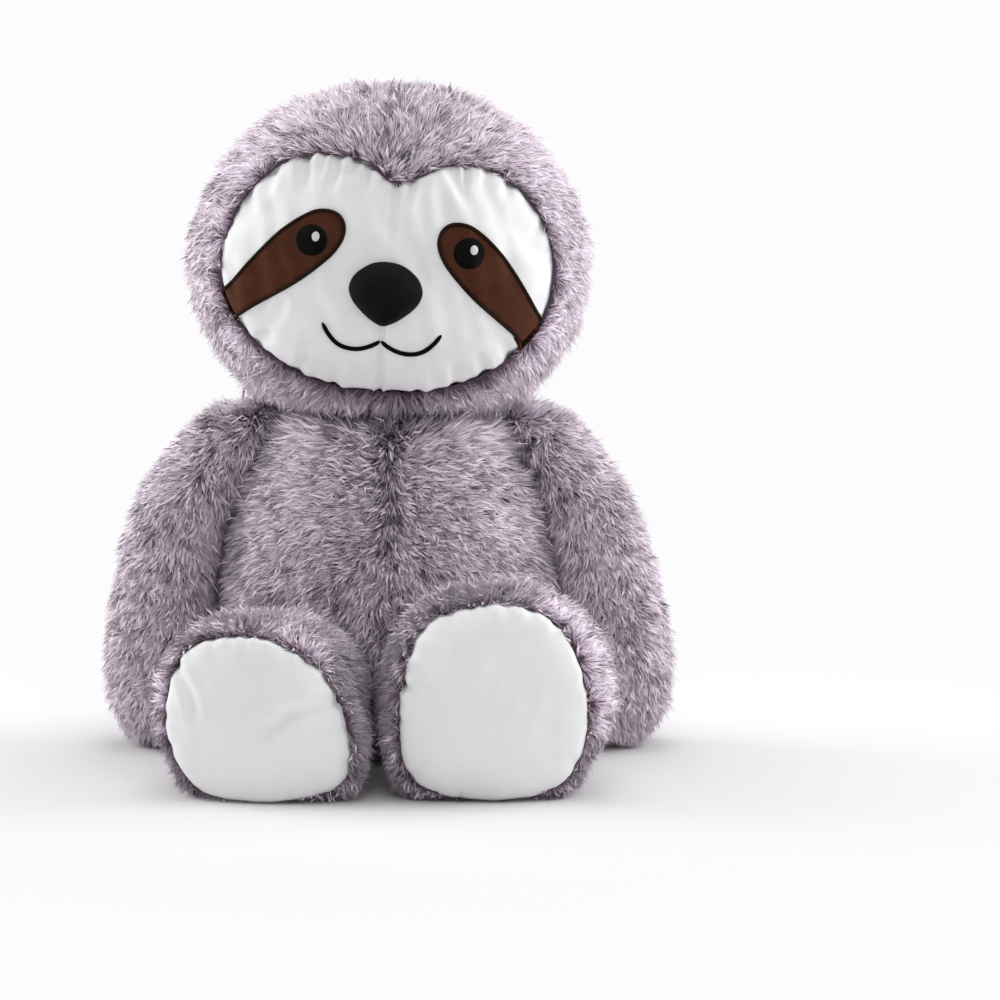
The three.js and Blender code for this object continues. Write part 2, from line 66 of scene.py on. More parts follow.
# Joins a value to a node's input, or types it in there
def feed(tree, slot, value):
    if isinstance(value, Wire):
        tree.links.new(value.socket, slot)
    else:
        slot.default_value = value


# One value of a network of nodes, so that sums over a cloth are written as sums
class Wire:
    def __init__(self, tree, socket):
        self.tree, self.socket = tree, socket

    def maths(self, operation, *others):
        node = self.tree.nodes.new("ShaderNodeMath")
        node.operation = operation
        for slot, value in zip(node.inputs, (self, *others)):
            feed(self.tree, slot, value)
        return Wire(self.tree, node.outputs[0])

    # Another output of the node that this value comes from
    def also(self, out):
        return Wire(self.tree, self.socket.node.outputs[out])

    def __add__(self, other):
        return self.maths("ADD", other)

    def __mul__(self, other):
        return self.maths("MULTIPLY", other)

    def __sub__(self, other):
        return self.maths("SUBTRACT", other)

    def __rsub__(self, other):
        return self * -1 + other

    __radd__, __rmul__ = __add__, __mul__


# A network of nodes: node() makes any node, end() joins the last value to the output
class Network:
    def __init__(self, tree):
        self.tree = tree
        tree.nodes.clear()

    def node(self, kind, settings=None, out=0, **inputs):
        node = self.tree.nodes.new(kind)
        for key, value in (settings or {}).items():
            if key == "stops":
                ramp = node.color_ramp
                while len(ramp.elements) < len(value):
                    ramp.elements.new(0.5)
                for element, (place, colour) in zip(ramp.elements, value):
                    element.position, element.color = place, (*colour, 1)
            else:
                setattr(node, key, value)
        for key, value in inputs.items():
            slot = node.inputs[int(key[1:]) if key[0] == "_" else key.replace("_", " ")]
            feed(self.tree, slot, value)
        return Wire(self.tree, node.outputs[out])

    # One for what the camera, a reflection or clear matter sees, and none for what lights it
    def seen(self):
        sight = [self.node("ShaderNodeLightPath", out=f"Is {kind} Ray")
                 for kind in ("Camera", "Glossy", "Transmission")]
        return sum(sight[1:], sight[0]).maths("MINIMUM", 1)

    def end(self, kind, value):
        self.tree.links.new(value.socket, self.tree.nodes.new(kind).inputs[0])


class Cloth(Network):
    def __init__(self, name):
        self.material = bpy.data.materials.new(name)
        self.material.use_nodes = True
        super().__init__(self.material.node_tree)

    def colour(self, amount, first, second):
        values = [c if isinstance(c, Wire) else (*c, 1) for c in (first, second)]
        return self.node("ShaderNodeMix", {"data_type": "RGBA"}, 2,
                         _0=amount, _6=values[0], _7=values[1])

    def place(self, x=1, y=1, z=1):
        where = self.node("ShaderNodeTexCoord", out="Object")
        return self.node("ShaderNodeMapping", Vector=where, Scale=(x, y, z))

    def speckle(self, scale, detail, *stretch, **more):
        return self.node("ShaderNodeTexNoise", Vector=self.place(*stretch), Scale=scale,
                         Detail=detail, **more)

    def bump(self, height, distance, strength=1):
        return self.node("ShaderNodeBump", Height=height, Distance=distance, Strength=strength)

    def finish(self, **inputs):
        self.end("ShaderNodeOutputMaterial", self.node("ShaderNodeBsdfPrincipled", **inputs))
        return self.material


def in_scene(name, data):
    thing = bpy.data.objects.new(name, data)
    bpy.context.scene.collection.objects.link(thing)
    return thing


# The mesh that an object's modifiers make of it
def modified(thing):
    made = thing.evaluated_get(bpy.context.evaluated_depsgraph_get())
    return bpy.data.meshes.new_from_object(made)


def verts_of(geometry):
    return [g for g in geometry if isinstance(g, bmesh.types.BMVert)]


def welded(*meshes):
    bm = bmesh.new()
    for mesh in meshes:
        bm.from_mesh(mesh)
    bmesh.ops.remove_doubles(bm, verts=bm.verts, dist=1e-6)
    return bm


def smooth(bm, verts):
    bmesh.ops.smooth_vert(bm, verts=verts, factor=0.5, use_axis_x=True, use_axis_y=True,
                          use_axis_z=True)


def mesh_of(bm, name):
    mesh = bpy.data.meshes.new(name)
    bm.to_mesh(mesh)
    bm.free()
    return mesh


def move_all(moves):
    for v, place in moves.items():
        v.co = place


VOXEL = 0.004  # finer than any form of the bags
EASING = 24  # rounds of smoothing, which take out the steps of the voxels
PANEL = 0.0083  # a panel and the gap under it, as thick as the solids have them
CHIN_HEIGHT = 0.24  # the head's opening for the neck lies under this
# Nothing lies lower than this over the floor: the cloth, its inner side and its pile
CLOTH_LOW, INNER_LOW, PILE_LOW = 0.0008, 0.0002, 0.0004


# A stuffed bag: the solids of one limb, welded and smoothed as the stuffing rounds the cloth.
# The head's form is drawn tight over its panels and its stuffing, past the hollow of the face.
def stuffed_form(start, *others, round_over=False):
    parts = [name for name in nodes if name.startswith(start)] + list(others)
    bm = welded(*(nodes[part].data for part in parts))
    if round_over:
        core = welded(nodes["head_filling"].data)
        core.normal_update()
        for v in core.verts:
            if v.normal.y < -0.3 and v.co.z > CHIN_HEIGHT:
                bm.verts.new(v.co + v.normal * PANEL)
        core.free()
        bmesh.ops.delete(bm, geom=bm.edges[:] + bm.faces[:], context="EDGES_FACES")
        hull = bmesh.ops.convex_hull(bm, input=bm.verts[:])
        bmesh.ops.delete(bm, geom=verts_of(hull["geom_interior"]), context="VERTS")
    bag = in_scene("form", mesh_of(bm, "form"))
    weld = bag.modifiers.new("weld", "REMESH")
    weld.mode, weld.voxel_size = "VOXEL", VOXEL
    ease = bag.modifiers.new("ease", "SMOOTH")
    ease.factor, ease.iterations = 0.5, EASING
    result = modified(bag)
    bpy.data.objects.remove(bag)
    return result


# A place, but no lower than this over the floor
def kept_up(place, low):
    return Vector((place.x, place.y, max(place.z, low)))


# Gives a cloth its thickness, inward from its outer side
def thicken(bm, thickness):
    bm.normal_update()
    inner = {v: kept_up(v.co - v.normal * thickness, INNER_LOW) for v in bm.verts}
    bmesh.ops.extrude_face_region(bm, geom=bm.faces[:])
    move_all(inner)


def surface_of(mesh, inward=0):
    points = [v.co - v.normal * inward for v in mesh.vertices]
    return BVHTree.FromPolygons(points, [tuple(p.vertices) for p in mesh.polygons])


forms = {
    "torso": stuffed_form("body_", "bead_pouch_top", "bead_pouch_bottom", "glass_beads"),
    "head": stuffed_form("head_", round_over=True),
    "arm_left": stuffed_form("arm_left_"),
    "arm_right": stuffed_form("arm_right_"),
    "leg_left": stuffed_form("leg_left_"),
    "leg_right": stuffed_form("leg_right_"),
}
surfaces = {name: surface_of(mesh) for name, mesh in forms.items()}

# The pile: fine pointed fibres with longer bent locks among them, each a unit long, rooted at
# the origin and lying over towards +X
FIBRES = [(0, 0.55), (0.12, 0.66), (-0.12, 0.62), (0.2, 0.48), (-0.2, 0.5)]  # side, top
LOCKS = [  # side, lift at the bend, top
    (0.0, 0.42, 0.62), (0.07, 0.38, 0.5), (-0.07, 0.45, 0.72), (0.13, 0.44, 0.66),
    (-0.13, 0.36, 0.54),
]
ROOT_SUNK = 0.12
fibres = bpy.data.collections.new("fibres")
locks = bpy.data.collections.new("locks")


def pile_shape(name, kinds, root, tip, bend=None):
    bm = bmesh.new()
    upright = Matrix.Rotation(math.radians(90), 4, "Y")
    ring = bmesh.ops.create_circle(bm, segments=3, radius=1, matrix=upright)["verts"]
    bmesh.ops.scale(bm, vec=(1, root, root * 0.55), verts=ring)
    bmesh.ops.translate(bm, vec=(0, 0, -ROOT_SUNK), verts=ring)
    if bend:
        ring = verts_of(bmesh.ops.extrude_edge_only(bm, edges=bm.edges[:])["geom"])
        bmesh.ops.translate(bm, vec=(bend[0], bend[1], bend[2] + ROOT_SUNK), verts=ring)
        bmesh.ops.scale(bm, vec=(1, 1.3, 1), verts=ring,
                        space=Matrix.Translation((-bend[0], -bend[1], -bend[2])))
    edges = [e for e in bm.edges if all(v in ring for v in e.verts)]
    end = verts_of(bmesh.ops.extrude_edge_only(bm, edges=edges)["geom"])
    bmesh.ops.pointmerge(bm, verts=end, merge_co=tip)
    bmesh.ops.recalc_face_normals(bm, faces=bm.faces[:])
    stretch = bm.loops.layers.uv.new("OFBake")
    for face in bm.faces:
        for number, corner in enumerate(face.loops):
            x = corner.vert.co.x
            along = 0.02 if x < 0.1 else 0.98 if x > 0.9 else 0.5
            corner[stretch].uv = (0.5 + 0.006 * (number - 1), along)
    kinds.objects.link(bpy.data.objects.new(name, mesh_of(bm, name)))


for number, (side, top) in enumerate(FIBRES):
    pile_shape(f"fibre_{number}", fibres, 0.075, (1, side, top))
for number, (side, lift, top) in enumerate(LOCKS):
    pile_shape(f"lock_{number}", locks, 0.07, (1, side * 1.8, top), (0.42, side, lift))


SWIRLS, CLUMPS = 95, 230  # to a metre of cloth


# Scatters one kind of pile over a cloth, turned and sized by what the cloth says of its nap
def pile_nodes(name, kinds, width, spread):
    tree = bpy.data.node_groups.new(name, "GeometryNodeTree")
    for title, kind in (("Cloth", "Geometry"), ("Seed", "Int"), ("Fullness", "Float")):
        tree.interface.new_socket(title, in_out="INPUT", socket_type="NodeSocket" + kind)
    tree.interface.new_socket("Pile", in_out="OUTPUT", socket_type="NodeSocketGeometry")
    net = Network(tree)

    def held(title, kind="FLOAT"):
        return net.node("GeometryNodeInputNamedAttribute", {"data_type": kind}, Name=title)

    def chance(low, high, seed):
        return net.node("FunctionNodeRandomValue", {"data_type": "FLOAT"}, 1, _2=low, _3=high,
                        Seed=seed)

    def vectors(operation, **inputs):
        return net.node("ShaderNodeVectorMath", {"operation": operation}, **inputs)

    def store(title, kind, domain, geometry, value):
        return net.node("GeometryNodeStoreNamedAttribute", {"data_type": kind, "domain": domain},
                        Geometry=geometry, Name=title, Value=value)

    cloth = net.node("NodeGroupInput", out="Cloth")
    points = net.node("GeometryNodeDistributePointsOnFaces", out="Points", Mesh=cloth,
                      Density=held("density") * cloth.also("Fullness"), Seed=cloth.also("Seed"))
    normal = points.also("Normal")
    where = net.node("GeometryNodeInputPosition")
    # The pile is combed along the nap, with swirls, and stands in clumps
    swirl = net.node("ShaderNodeTexNoise", out="Color", Vector=where, Scale=SWIRLS, Detail=1)
    clump = net.node("ShaderNodeTexNoise", Vector=where, Scale=CLUMPS, Detail=2.5)
    turn = vectors("SCALE", _0=vectors("SUBTRACT", _0=swirl, _1=(0.5, 0.5, 0.5)), Scale=3.4)
    upright = net.node("FunctionNodeAlignRotationToVector", {"axis": "Z"}, Vector=normal)
    combed = net.node("FunctionNodeAlignRotationToVector", {"axis": "X", "pivot_axis": "Z"},
                      Rotation=upright,
                      Vector=vectors("ADD", _0=held("nap", "FLOAT_VECTOR"), _1=turn))
    roll = net.node("ShaderNodeCombineXYZ", X=chance(-0.3, 0.3, 1), Y=chance(-0.3, 0.16, 2),
                    Z=chance(-spread, spread, 3))
    ruffled = net.node("FunctionNodeRotateRotation", {"rotation_space": "LOCAL"}, Rotation=combed,
                       _1=net.node("FunctionNodeEulerToRotation", Euler=roll))
    rise = held("rise") * chance(0.75, 1.15, 6) * (clump * 1.5 + 0.25)
    size = net.node("ShaderNodeCombineXYZ", X=held("reach") * chance(0.7, 1.15, 4),
                    Y=chance(0.75, 1.2, 5) * width, Z=rise)
    # Each fibre keeps its shade and its cloth's normal. The shade is the cloth's tint with a random
    # change, lowered where the clumps stand low: painted shade in the hollows between clumps
    shade = held("tint") + ((clump - 0.5) * 1.7 + chance(-0.16, 0.16, 7))
    shades = store("shade", "FLOAT", "POINT", points,
                   shade.maths("MAXIMUM", 0.03).maths("MINIMUM", 0.97))
    lying = store("lie", "FLOAT_VECTOR", "POINT", shades, normal)
    gathered = net.node("GeometryNodeCollectionInfo", _0=kinds, Separate_Children=True,
                        Reset_Children=True)
    which = net.node("FunctionNodeRandomValue", {"data_type": "INT"}, 2, _4=0,
                     _5=len(kinds.objects) - 1, Seed=8)
    planted = net.node("GeometryNodeInstanceOnPoints", Points=lying, Instance=gathered,
                       Pick_Instance=True, Instance_Index=which, Rotation=ruffled, Scale=size)
    real = net.node("GeometryNodeRealizeInstances", Geometry=planted)
    across = net.node("ShaderNodeSeparateXYZ", Vector=held("OFBake", "FLOAT_VECTOR"))
    shifted = net.node("ShaderNodeCombineXYZ", X=across + (held("shade") - 0.5),
                       Y=across.also(1))
    painted = store("OFBake", "FLOAT2", "CORNER", real, shifted)
    # The floor presses flat what would stand under it
    x = net.node("ShaderNodeSeparateXYZ", Vector=where)
    above = net.node("ShaderNodeCombineXYZ", X=x, Y=x.also(1),
                     Z=x.also(2).maths("MAXIMUM", PILE_LOW))
    net.end("NodeGroupOutput", net.node("GeometryNodeSetPosition", Geometry=painted,
                                        Position=above))
    return tree


# The two piles, each with how many of it grow on a square metre
PILES = [
    (pile_nodes("fine_pile", fibres, 0.0105, 0.6), 1080000),
    (pile_nodes("long_locks", locks, 0.0115, 0.4), 120000),
]

long_pile = Cloth("long_pile")
strand = long_pile.node("ShaderNodeUVMap", {"uv_map": "OFBake"})
tone = long_pile.node("ShaderNodeSeparateXYZ", out="X", Vector=strand)
# The pile is pale at its tips, which is its own colour, and near black at its roots, which is
# painted shade deep down between the fibres
root_to_tip = long_pile.node("ShaderNodeValToRGB", {"stops": [
    (0.0, (0.085, 0.045, 0.078)), (0.3, (0.36, 0.27, 0.345)),
    (0.6, (0.73, 0.62, 0.715)), (1.0, (0.93, 0.85, 0.92)),
]}, Fac=long_pile.node("ShaderNodeSeparateXYZ", out="Y", Vector=strand))
shaded = long_pile.node("ShaderNodeVectorMath", {"operation": "SCALE"}, Vector=root_to_tip,
                        Scale=(tone * 2.2 - 0.15).maths("MINIMUM", 1.25).maths("MAXIMUM", 0.2))
long_pile.finish(Base_Color=shaded, Roughness=0.85, Specular_IOR_Level=0.15, Sheen_Weight=0.2,
                 Sheen_Roughness=0.5, Sheen_Tint=(0.95, 0.82, 0.93, 1))

BACKING = 0.0016  # the knitted back
SUNK, SUNK_AT_FLOOR = 0.005, 0.0018  # how far the back lies under the solids' outer side
FULL_RISE = 0.0115  # how high the pile stands where nothing presses it
FLOOR_ROOM = 0.009  # the pile is shorter on cloth that is nearer to the floor than this
NEAR = 0.03  # another limb further off than this doesn't press the pile
SOFT = 0.7  # how far the pile takes the light as the cloth under it does


def soften(value, low, high):
    share = min(max((value - low) / (high - low), 0), 1)
    return share * share * (3 - 2 * share)


# One plush panel: a form between its seams, with openings, its backing and its pile
def plush_panel(name, limb, cuts, coat, gone=None, trim=None, seed=1):
    bm = bmesh.new()
    bm.from_mesh(forms[limb])
    bm.normal_update()
    move_all({v: kept_up(v.co - v.normal * (SUNK_AT_FLOOR + (SUNK - SUNK_AT_FLOOR)
                                            * soften(v.co.z, 0, 0.012)), CLOTH_LOW)
              for v in bm.verts})
    for point, normal in cuts:
        bmesh.ops.bisect_plane(bm, geom=bm.verts[:] + bm.edges[:] + bm.faces[:], dist=1e-6,
                               plane_co=point, plane_no=normal, clear_outer=True)
    if gone:
        bmesh.ops.delete(bm, geom=[f for f in bm.faces if gone(f.calc_center_median())],
                         context="FACES")
    if trim:
        for v in bm.verts:
            if v.is_boundary:
                v.co = kept_up(trim(v.co), CLOTH_LOW)
    bm.normal_update()
    others = [surface for key, surface in surfaces.items() if limb not in (key, "neck")]
    layers = {key: bm.verts.layers.float.new(key) for key in ("density", "reach", "rise", "tint")}
    direction = bm.verts.layers.float_vector.new("nap")
    for v in bm.verts:
        look = coat(v.co, v.normal)
        room = min((near[3] for tree in others if (near := tree.find_nearest(v.co, NEAR))[0]),
                   default=NEAR)
        free = min(1, look.get("share", 0.5) * (room + SUNK) / (FULL_RISE * 0.65))
        v[direction] = look["nap"].normalized() * look.get("combed", 1)
        v[layers["density"]] = look.get("density", 1)
        v[layers["reach"]] = look.get("reach", 0.0098) * (0.6 + 0.4 * free)
        v[layers["rise"]] = (look.get("rise", 1) * FULL_RISE * min(free, v.co.z / FLOOR_ROOM)
                             * (1 + 0.35 * noise.noise(v.co * 60)))
        v[layers["tint"]] = look.get("tint", 0.5) + 0.12 * noise.noise(v.co * 40)
    cloth = bpy.data.meshes.new(name)
    bm.to_mesh(cloth)
    piece = in_scene(name, cloth)
    grown = []
    for number, (nap, fullness) in enumerate(PILES):
        pile = piece.modifiers.new("pile", "NODES")
        pile.node_group = nap
        slots = {item.name: item.identifier for item in nap.interface.items_tree}
        pile[slots["Seed"]], pile[slots["Fullness"]] = seed + 50 * number, float(fullness)
        grown.append(modified(piece))
        piece.modifiers.clear()
    for key in layers:
        bm.verts.layers.float.remove(bm.verts.layers.float[key])
    bm.verts.layers.float_vector.remove(bm.verts.layers.float_vector["nap"])
    thicken(bm, BACKING)
    stretch = bm.loops.layers.uv.new("OFBake")
    for face in bm.faces:
        for number, corner in enumerate(face.loops):
            corner[stretch].uv = (0.3 + 0.02 * (number % 2), 0.1 + 0.02 * (number // 2))
    for mesh in grown:
        bm.from_mesh(mesh)
        bpy.data.meshes.remove(mesh)
    for face in bm.faces:
        face.smooth = True
    bm.to_mesh(cloth)
    bm.free()
    count = 3 * len(cloth.vertices)
    own, lie = np.empty(count, np.float32), np.empty(count, np.float32)
    cloth.vertex_normals.foreach_get("vector", own)
    cloth.attributes["lie"].data.foreach_get("vector", lie)
    cloth.attributes.remove(cloth.attributes["lie"])
    soft = (own * (1 - SOFT) + lie * SOFT).reshape(-1, 3)
    soft /= np.maximum(np.linalg.norm(soft, axis=1, keepdims=True), 1e-6)
    cloth.normals_split_custom_set_from_vertices(soft)
    cloth.materials.append(long_pile.material)
    return piece


def sew(piece, body, *replaced, slot="plush", fill=0.8):
    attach(piece, body)
    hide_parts(*replaced)


NECK = Vector((0, -0.004, 0.198))
NECK_HOLE = 0.036
SHOULDER_HEIGHT = 0.15
SEAT = (0.066, 0.057)  # half the width and half the depth of the seat cloth
SEAT_HEIGHT = 0.02  # the seat cloth lies under this


# A value held between -1 and 1
def either_side(value):
    return max(-1, min(1, value))


# How far a place is in a seam of this width, from 0 beside it to 1 in it
def in_seam(away, width=0.006):
    return 1 - soften(abs(away), 0, width)


def body_coat(p, n):
    belly = soften(0.17 - p.z, 0, 0.1)
    back = soften(p.y, -0.01, 0.05)
    out = either_side(p.x / 0.01)
    nap = Vector((out * (1 - 0.75 * belly), 0, -0.3 - 0.9 * belly))
    nap = nap.lerp(Vector((out * 0.2, 0, -1)), back)
    seam = in_seam(min(abs(p.x), abs(p.y) + 0.003), 0.007)
    seat = 1 - soften(p.z, 0, SEAT_HEIGHT)
    collar = soften(p.z, 0.172, 0.192)
    beside = soften(abs(p.x), 0.058, 0.074) * soften(0.2 - p.z, 0.02, 0.04)
    # The pile's tint is lowered along the seams: painted shade where the pile parts over them
    return {"nap": nap, "tint": 0.5 - 0.12 * seam,
            "rise": 1 - 0.3 * seam + 0.7 * collar + 0.5 * beside,
            "reach": 0.0095 - 0.003 * seat + 0.004 * collar,
            "share": 0.5 + 0.5 * collar + 0.25 * beside}


def seat_share(p):
    return math.hypot(p.x / SEAT[0], p.y / SEAT[1])


def within_seat(p):
    return p.z < SEAT_HEIGHT and seat_share(p) < 1


# Moves the edge of a cut onto the oval that it was cut to
def seat_edge(p):
    share = seat_share(p)
    if p.z < SEAT_HEIGHT and 0.85 < share < 1.15:
        return Vector((p.x / share, p.y / share, p.z))
    return p


def in_neck(p):
    return math.hypot(p.x, p.y - NECK.y) < NECK_HOLE


def body_opening(p):
    return within_seat(p) or p.z > SHOULDER_HEIGHT and in_neck(p)


BODY_PANELS = {
    "body_front_left": (-1, 1), "body_front_right": (1, 1),
    "body_back_left": (-1, -1), "body_back_right": (1, -1),
}
for number, (name, (side, face)) in enumerate(BODY_PANELS.items()):
    panel = plush_panel(name + "_plush", "torso",
                        [((0, 0, 0), (side, 0, 0)), ((0, 0, 0), (0, face, 0))],
                        body_coat, body_opening, seat_edge, number + 1)
    sew(panel, "torso", name + "_panel")
seat = plush_panel("seat_plush", "torso", [], body_coat, lambda p: not within_seat(p),
                   seat_edge, 5)
sew(seat, "torso", "body_seat_panel")

# ---- Head plush ----
# A left and a right panel meet in a seam over the crown and under the chin, and turn in round the
# face. The pile fans up from the notch of the brow, falls outward over it and straight down
# elsewhere, and stands away from the face all round.
HEAD_PLACE = Matrix.Translation((0, -0.008, 0.3022)) @ Matrix.Rotation(math.radians(6), 4, "Y")
TO_HEAD = HEAD_PLACE.inverted()
NOSE_LEVEL = -0.024
FACE_EDGE = [
    (-95.5, -6.5), (-97, 7.6), (-95.3, 22), (-91.3, 36.5), (-85.4, 48.4), (-76.5, 59.2),
    (-66, 68.1), (-55.1, 73), (-42.6, 75.7), (-29.9, 75.3), (-18.3, 72.4), (-8.5, 66.2),
    (-0.4, 62.6), (8, 65.6), (19.6, 71.8), (30.5, 76), (41.7, 77.5), (53.3, 75.7), (65.3, 70),
    (76.1, 61.9), (85.3, 50.8), (91.8, 38.8), (95.8, 24.9), (96.8, 10.8), (95, -0.7),
    (91.5, -10), (85.2, -20.4), (77.7, -29.6), (68.7, -38.3), (59, -45), (47.1, -50.8),
    (33.2, -55), (19.5, -58.3), (8, -59.6), (-4.6, -59.5), (-17.4, -59.3), (-31.9, -57.2),
    (-46.6, -52.3), (-61.6, -45), (-73.9, -36.6), (-82.9, -27.9), (-90, -17.5),
]


# Places in metres along a curve through four points in millimetres, from the second to the third
def rounded_stretch(points, steps):
    a, b, c, d = (Vector(point) for point in points)
    for j in range(steps):
        t = j / steps
        yield 0.0005 * (2 * b + (c - a) * t + (2 * a - 5 * b + 4 * c - d) * t * t
                        + (3 * b - a - 3 * c + d) * t ** 3)


# A closed outline in metres, rounded through its points; half of it is mirrored if asked
def rounded_outline(points, mirror=False, steps=10):
    if mirror:
        points = points + [(-u, v) for u, v in points[-2:0:-1]]
    count = len(points)
    return [place for i in range(count) for place in
            rounded_stretch([points[(i + k) % count] for k in (-1, 0, 1, 2)], steps)]


MIDDLE = Vector((0, 0))
FAR_OUT = 9  # the share of a place that is nowhere near an outline


# How far a point lies from the middle of an outline, as a share of the outline there
def share_of(outline, point, middle=MIDDLE):
    reach = point - middle
    if reach.length < 1e-9:
        return 0
    for a, b in zip(outline, outline[1:] + outline[:1]):
        one, two = a - middle, b - middle
        turn = one.x * two.y - one.y * two.x
        if abs(turn) < 1e-14:
            continue
        first = (reach.x * two.y - reach.y * two.x) / turn
        second = (one.x * reach.y - one.y * reach.x) / turn
        if first >= -1e-6 and second >= -1e-6:
            return first + second
    return FAR_OUT


face_outline = rounded_outline(FACE_EDGE, steps=3)
HOOD_SHARE = 1.015  # the hood turns in just outside what shows of the face


def on_face(p):
    q = TO_HEAD @ p
    return Vector((q.x, q.z - NOSE_LEVEL)), q


def face_opening(p):
    place, q = on_face(p)
    return q.y < 0 and share_of(face_outline, place) < HOOD_SHARE


def head_opening(p):
    return face_opening(p) or p.z < CHIN_HEIGHT and in_neck(p)


def face_rim(p):
    place, q = on_face(p)
    if q.y > 0:
        return p
    share = share_of(face_outline, place) / HOOD_SHARE
    if not 0.9 < share < 1.1:
        return p
    return HEAD_PLACE @ Vector((place.x / share, q.y, place.y / share + NOSE_LEVEL))


def head_coat(p, n):
    place, q = on_face(p)
    out = either_side(q.x / 0.04 + 0.5 * noise.noise(q * 70))
    brow = soften(q.z, 0.025, 0.05) * soften(-q.y, -0.06, 0.0)
    fan = brow * (1 - soften(abs(q.x), 0.035, 0.085))
    upward = Vector((q.x + 0.012 * noise.noise(q * 90), 0, q.z - 0.034)).normalized()
    nap = Vector((out * (0.3 + 0.8 * brow), 0, -1 + 0.65 * brow))
    tuft = noise.noise_vector(q * 75) * 0.9
    nap = nap.lerp(upward + Vector((0, 0.2, 0)) + tuft, fan)
    share = share_of(face_outline, place) if q.y < 0 else FAR_OUT
    edge, rim = soften(share, HOOD_SHARE, 1.17), soften(share, HOOD_SHARE, 1.06)
    away = Vector((place.x, 0, place.y)).normalized() * (1.6 if place.y < 0.04 else 0.5)
    nap = nap.lerp(nap.normalized() + away, 1 - edge)
    chin = soften(-q.z, 0.055, 0.08) * soften(-q.y, 0, 0.04)
    seam = in_seam(q.x)
    collar = soften(CHIN_HEIGHT - p.z, 0, 0.018)
    # The head's pile has a higher tint than the body's: painted light on the crown and sides, which
    # the lamps light most. Over the fan of the brow the tint is lowered below the body's, painted
    # shade in the parting there
    return {"nap": HEAD_PLACE.to_3x3() @ nap, "tint": 0.6 - 0.15 * fan, "density": 0.88,
            "reach": 0.0075 + 0.003 * edge - 0.002 * chin + 0.003 * collar,
            "rise": 0.75 + 0.25 * edge - 0.05 * seam + 0.7 * collar + 0.08 * fan,
            "share": 0.5 + 0.5 * collar, "combed": 0.3 + 0.7 * rim}


head_seam = HEAD_PLACE.to_3x3() @ Vector((1, 0, 0))
for name, side in (("left", -1), ("right", 1)):
    panel = plush_panel(f"head_{name}_plush", "head",
                        [(HEAD_PLACE.translation, head_seam * side)],
                        head_coat, head_opening, face_rim, 10 + side)
    sew(panel, "head", f"head_{name}_panel")

# ---- Neck plush ----
# The short neck between the openings of the body and the head, stuffed firm and covered with the
# same pile, which closes the gap under the chin.
forms["neck"] = stuffed_form("neck_")
surfaces["neck"] = surface_of(forms["neck"])


def neck_coat(p, n):
    shown = soften(p.z, 0.178, 0.19) * (1 - soften(p.z, 0.235, 0.25))
    # The neck's pile has a lower tint than the body's: painted shade under the chin
    return {"nap": n + Vector((0, -0.2, -1)), "density": 0.1 + 0.9 * shown, "rise": 1.2,
            "tint": 0.45, "share": 1}


neck = plush_panel("neck_plush", "neck", [], neck_coat, seed=15)
sew(neck, "torso", "neck_filling")

# ---- Face ----
# One piece of short smooth white plush, gathered to the plush hood all round, with a dart from
# the mouth down to the chin and a short seam from the mouth up to the nose.
FACE_SUNK = 0.0038  # the face lies this far under the hood's form
face_base = surface_of(forms["head"], FACE_SUNK)
BACKWARD = Vector((0, 1, 0))


# Where a ray starts that looks at the face, well before it
def before_face(u, v):
    return HEAD_PLACE @ Vector((u, -0.3, v + NOSE_LEVEL))


def face_point(u, v, depth=0.0):
    hit = face_base.ray_cast(before_face(u, v), BACKWARD)
    if hit[0] is None:
        hit = face_base.find_nearest(HEAD_PLACE @ Vector((u, 0, v + NOSE_LEVEL)))
    return hit[0] - hit[1] * depth


def grow_ring(bm, edges):
    grown = bmesh.ops.extrude_edge_only(bm, edges=edges)["geom"]
    return verts_of(grown), [g for g in grown if isinstance(g, bmesh.types.BMEdge)]


# A flat cloth cut to an outline: rings of points from the edge to the middle, in the XZ plane
def cut_cloth(outline, middle, shares, segments):
    bm = bmesh.new()
    ring = bmesh.ops.create_circle(bm, segments=segments, radius=1)["verts"]
    lengths = [0.0]
    for a, b in zip(outline, outline[1:] + outline[:1]):
        lengths.append(lengths[-1] + (b - a).length)
    edge = []
    k = 0
    for i in range(segments):
        want = lengths[-1] * i / segments
        while lengths[k + 1] < want:
            k += 1
        a, b = outline[k], outline[(k + 1) % len(outline)]
        edge.append(a.lerp(b, (want - lengths[k]) / (lengths[k + 1] - lengths[k])))
    for v, place in zip(ring, edge):
        v.co = (place.x, 0, place.y)
    edges = bm.edges[:]
    for share in shares:
        ring, edges = grow_ring(bm, edges)
        if share == 0:
            bmesh.ops.pointmerge(bm, verts=ring, merge_co=(middle.x, 0, middle.y))
        else:
            for v, place in zip(ring, edge):
                spot = middle.lerp(place, share)
                v.co = (spot.x, 0, spot.y)
    return bm


def as_piece(bm, name, material):
    mesh = mesh_of(bm, name)
    mesh.shade_smooth()
    mesh.materials.append(material)
    return in_scene(name, mesh)


def face_forward(bm, towards):
    bmesh.ops.recalc_face_normals(bm, faces=bm.faces[:])
    if sum((f.normal * f.calc_area() for f in bm.faces), Vector()).dot(towards) < 0:
        bmesh.ops.reverse_faces(bm, faces=bm.faces[:])


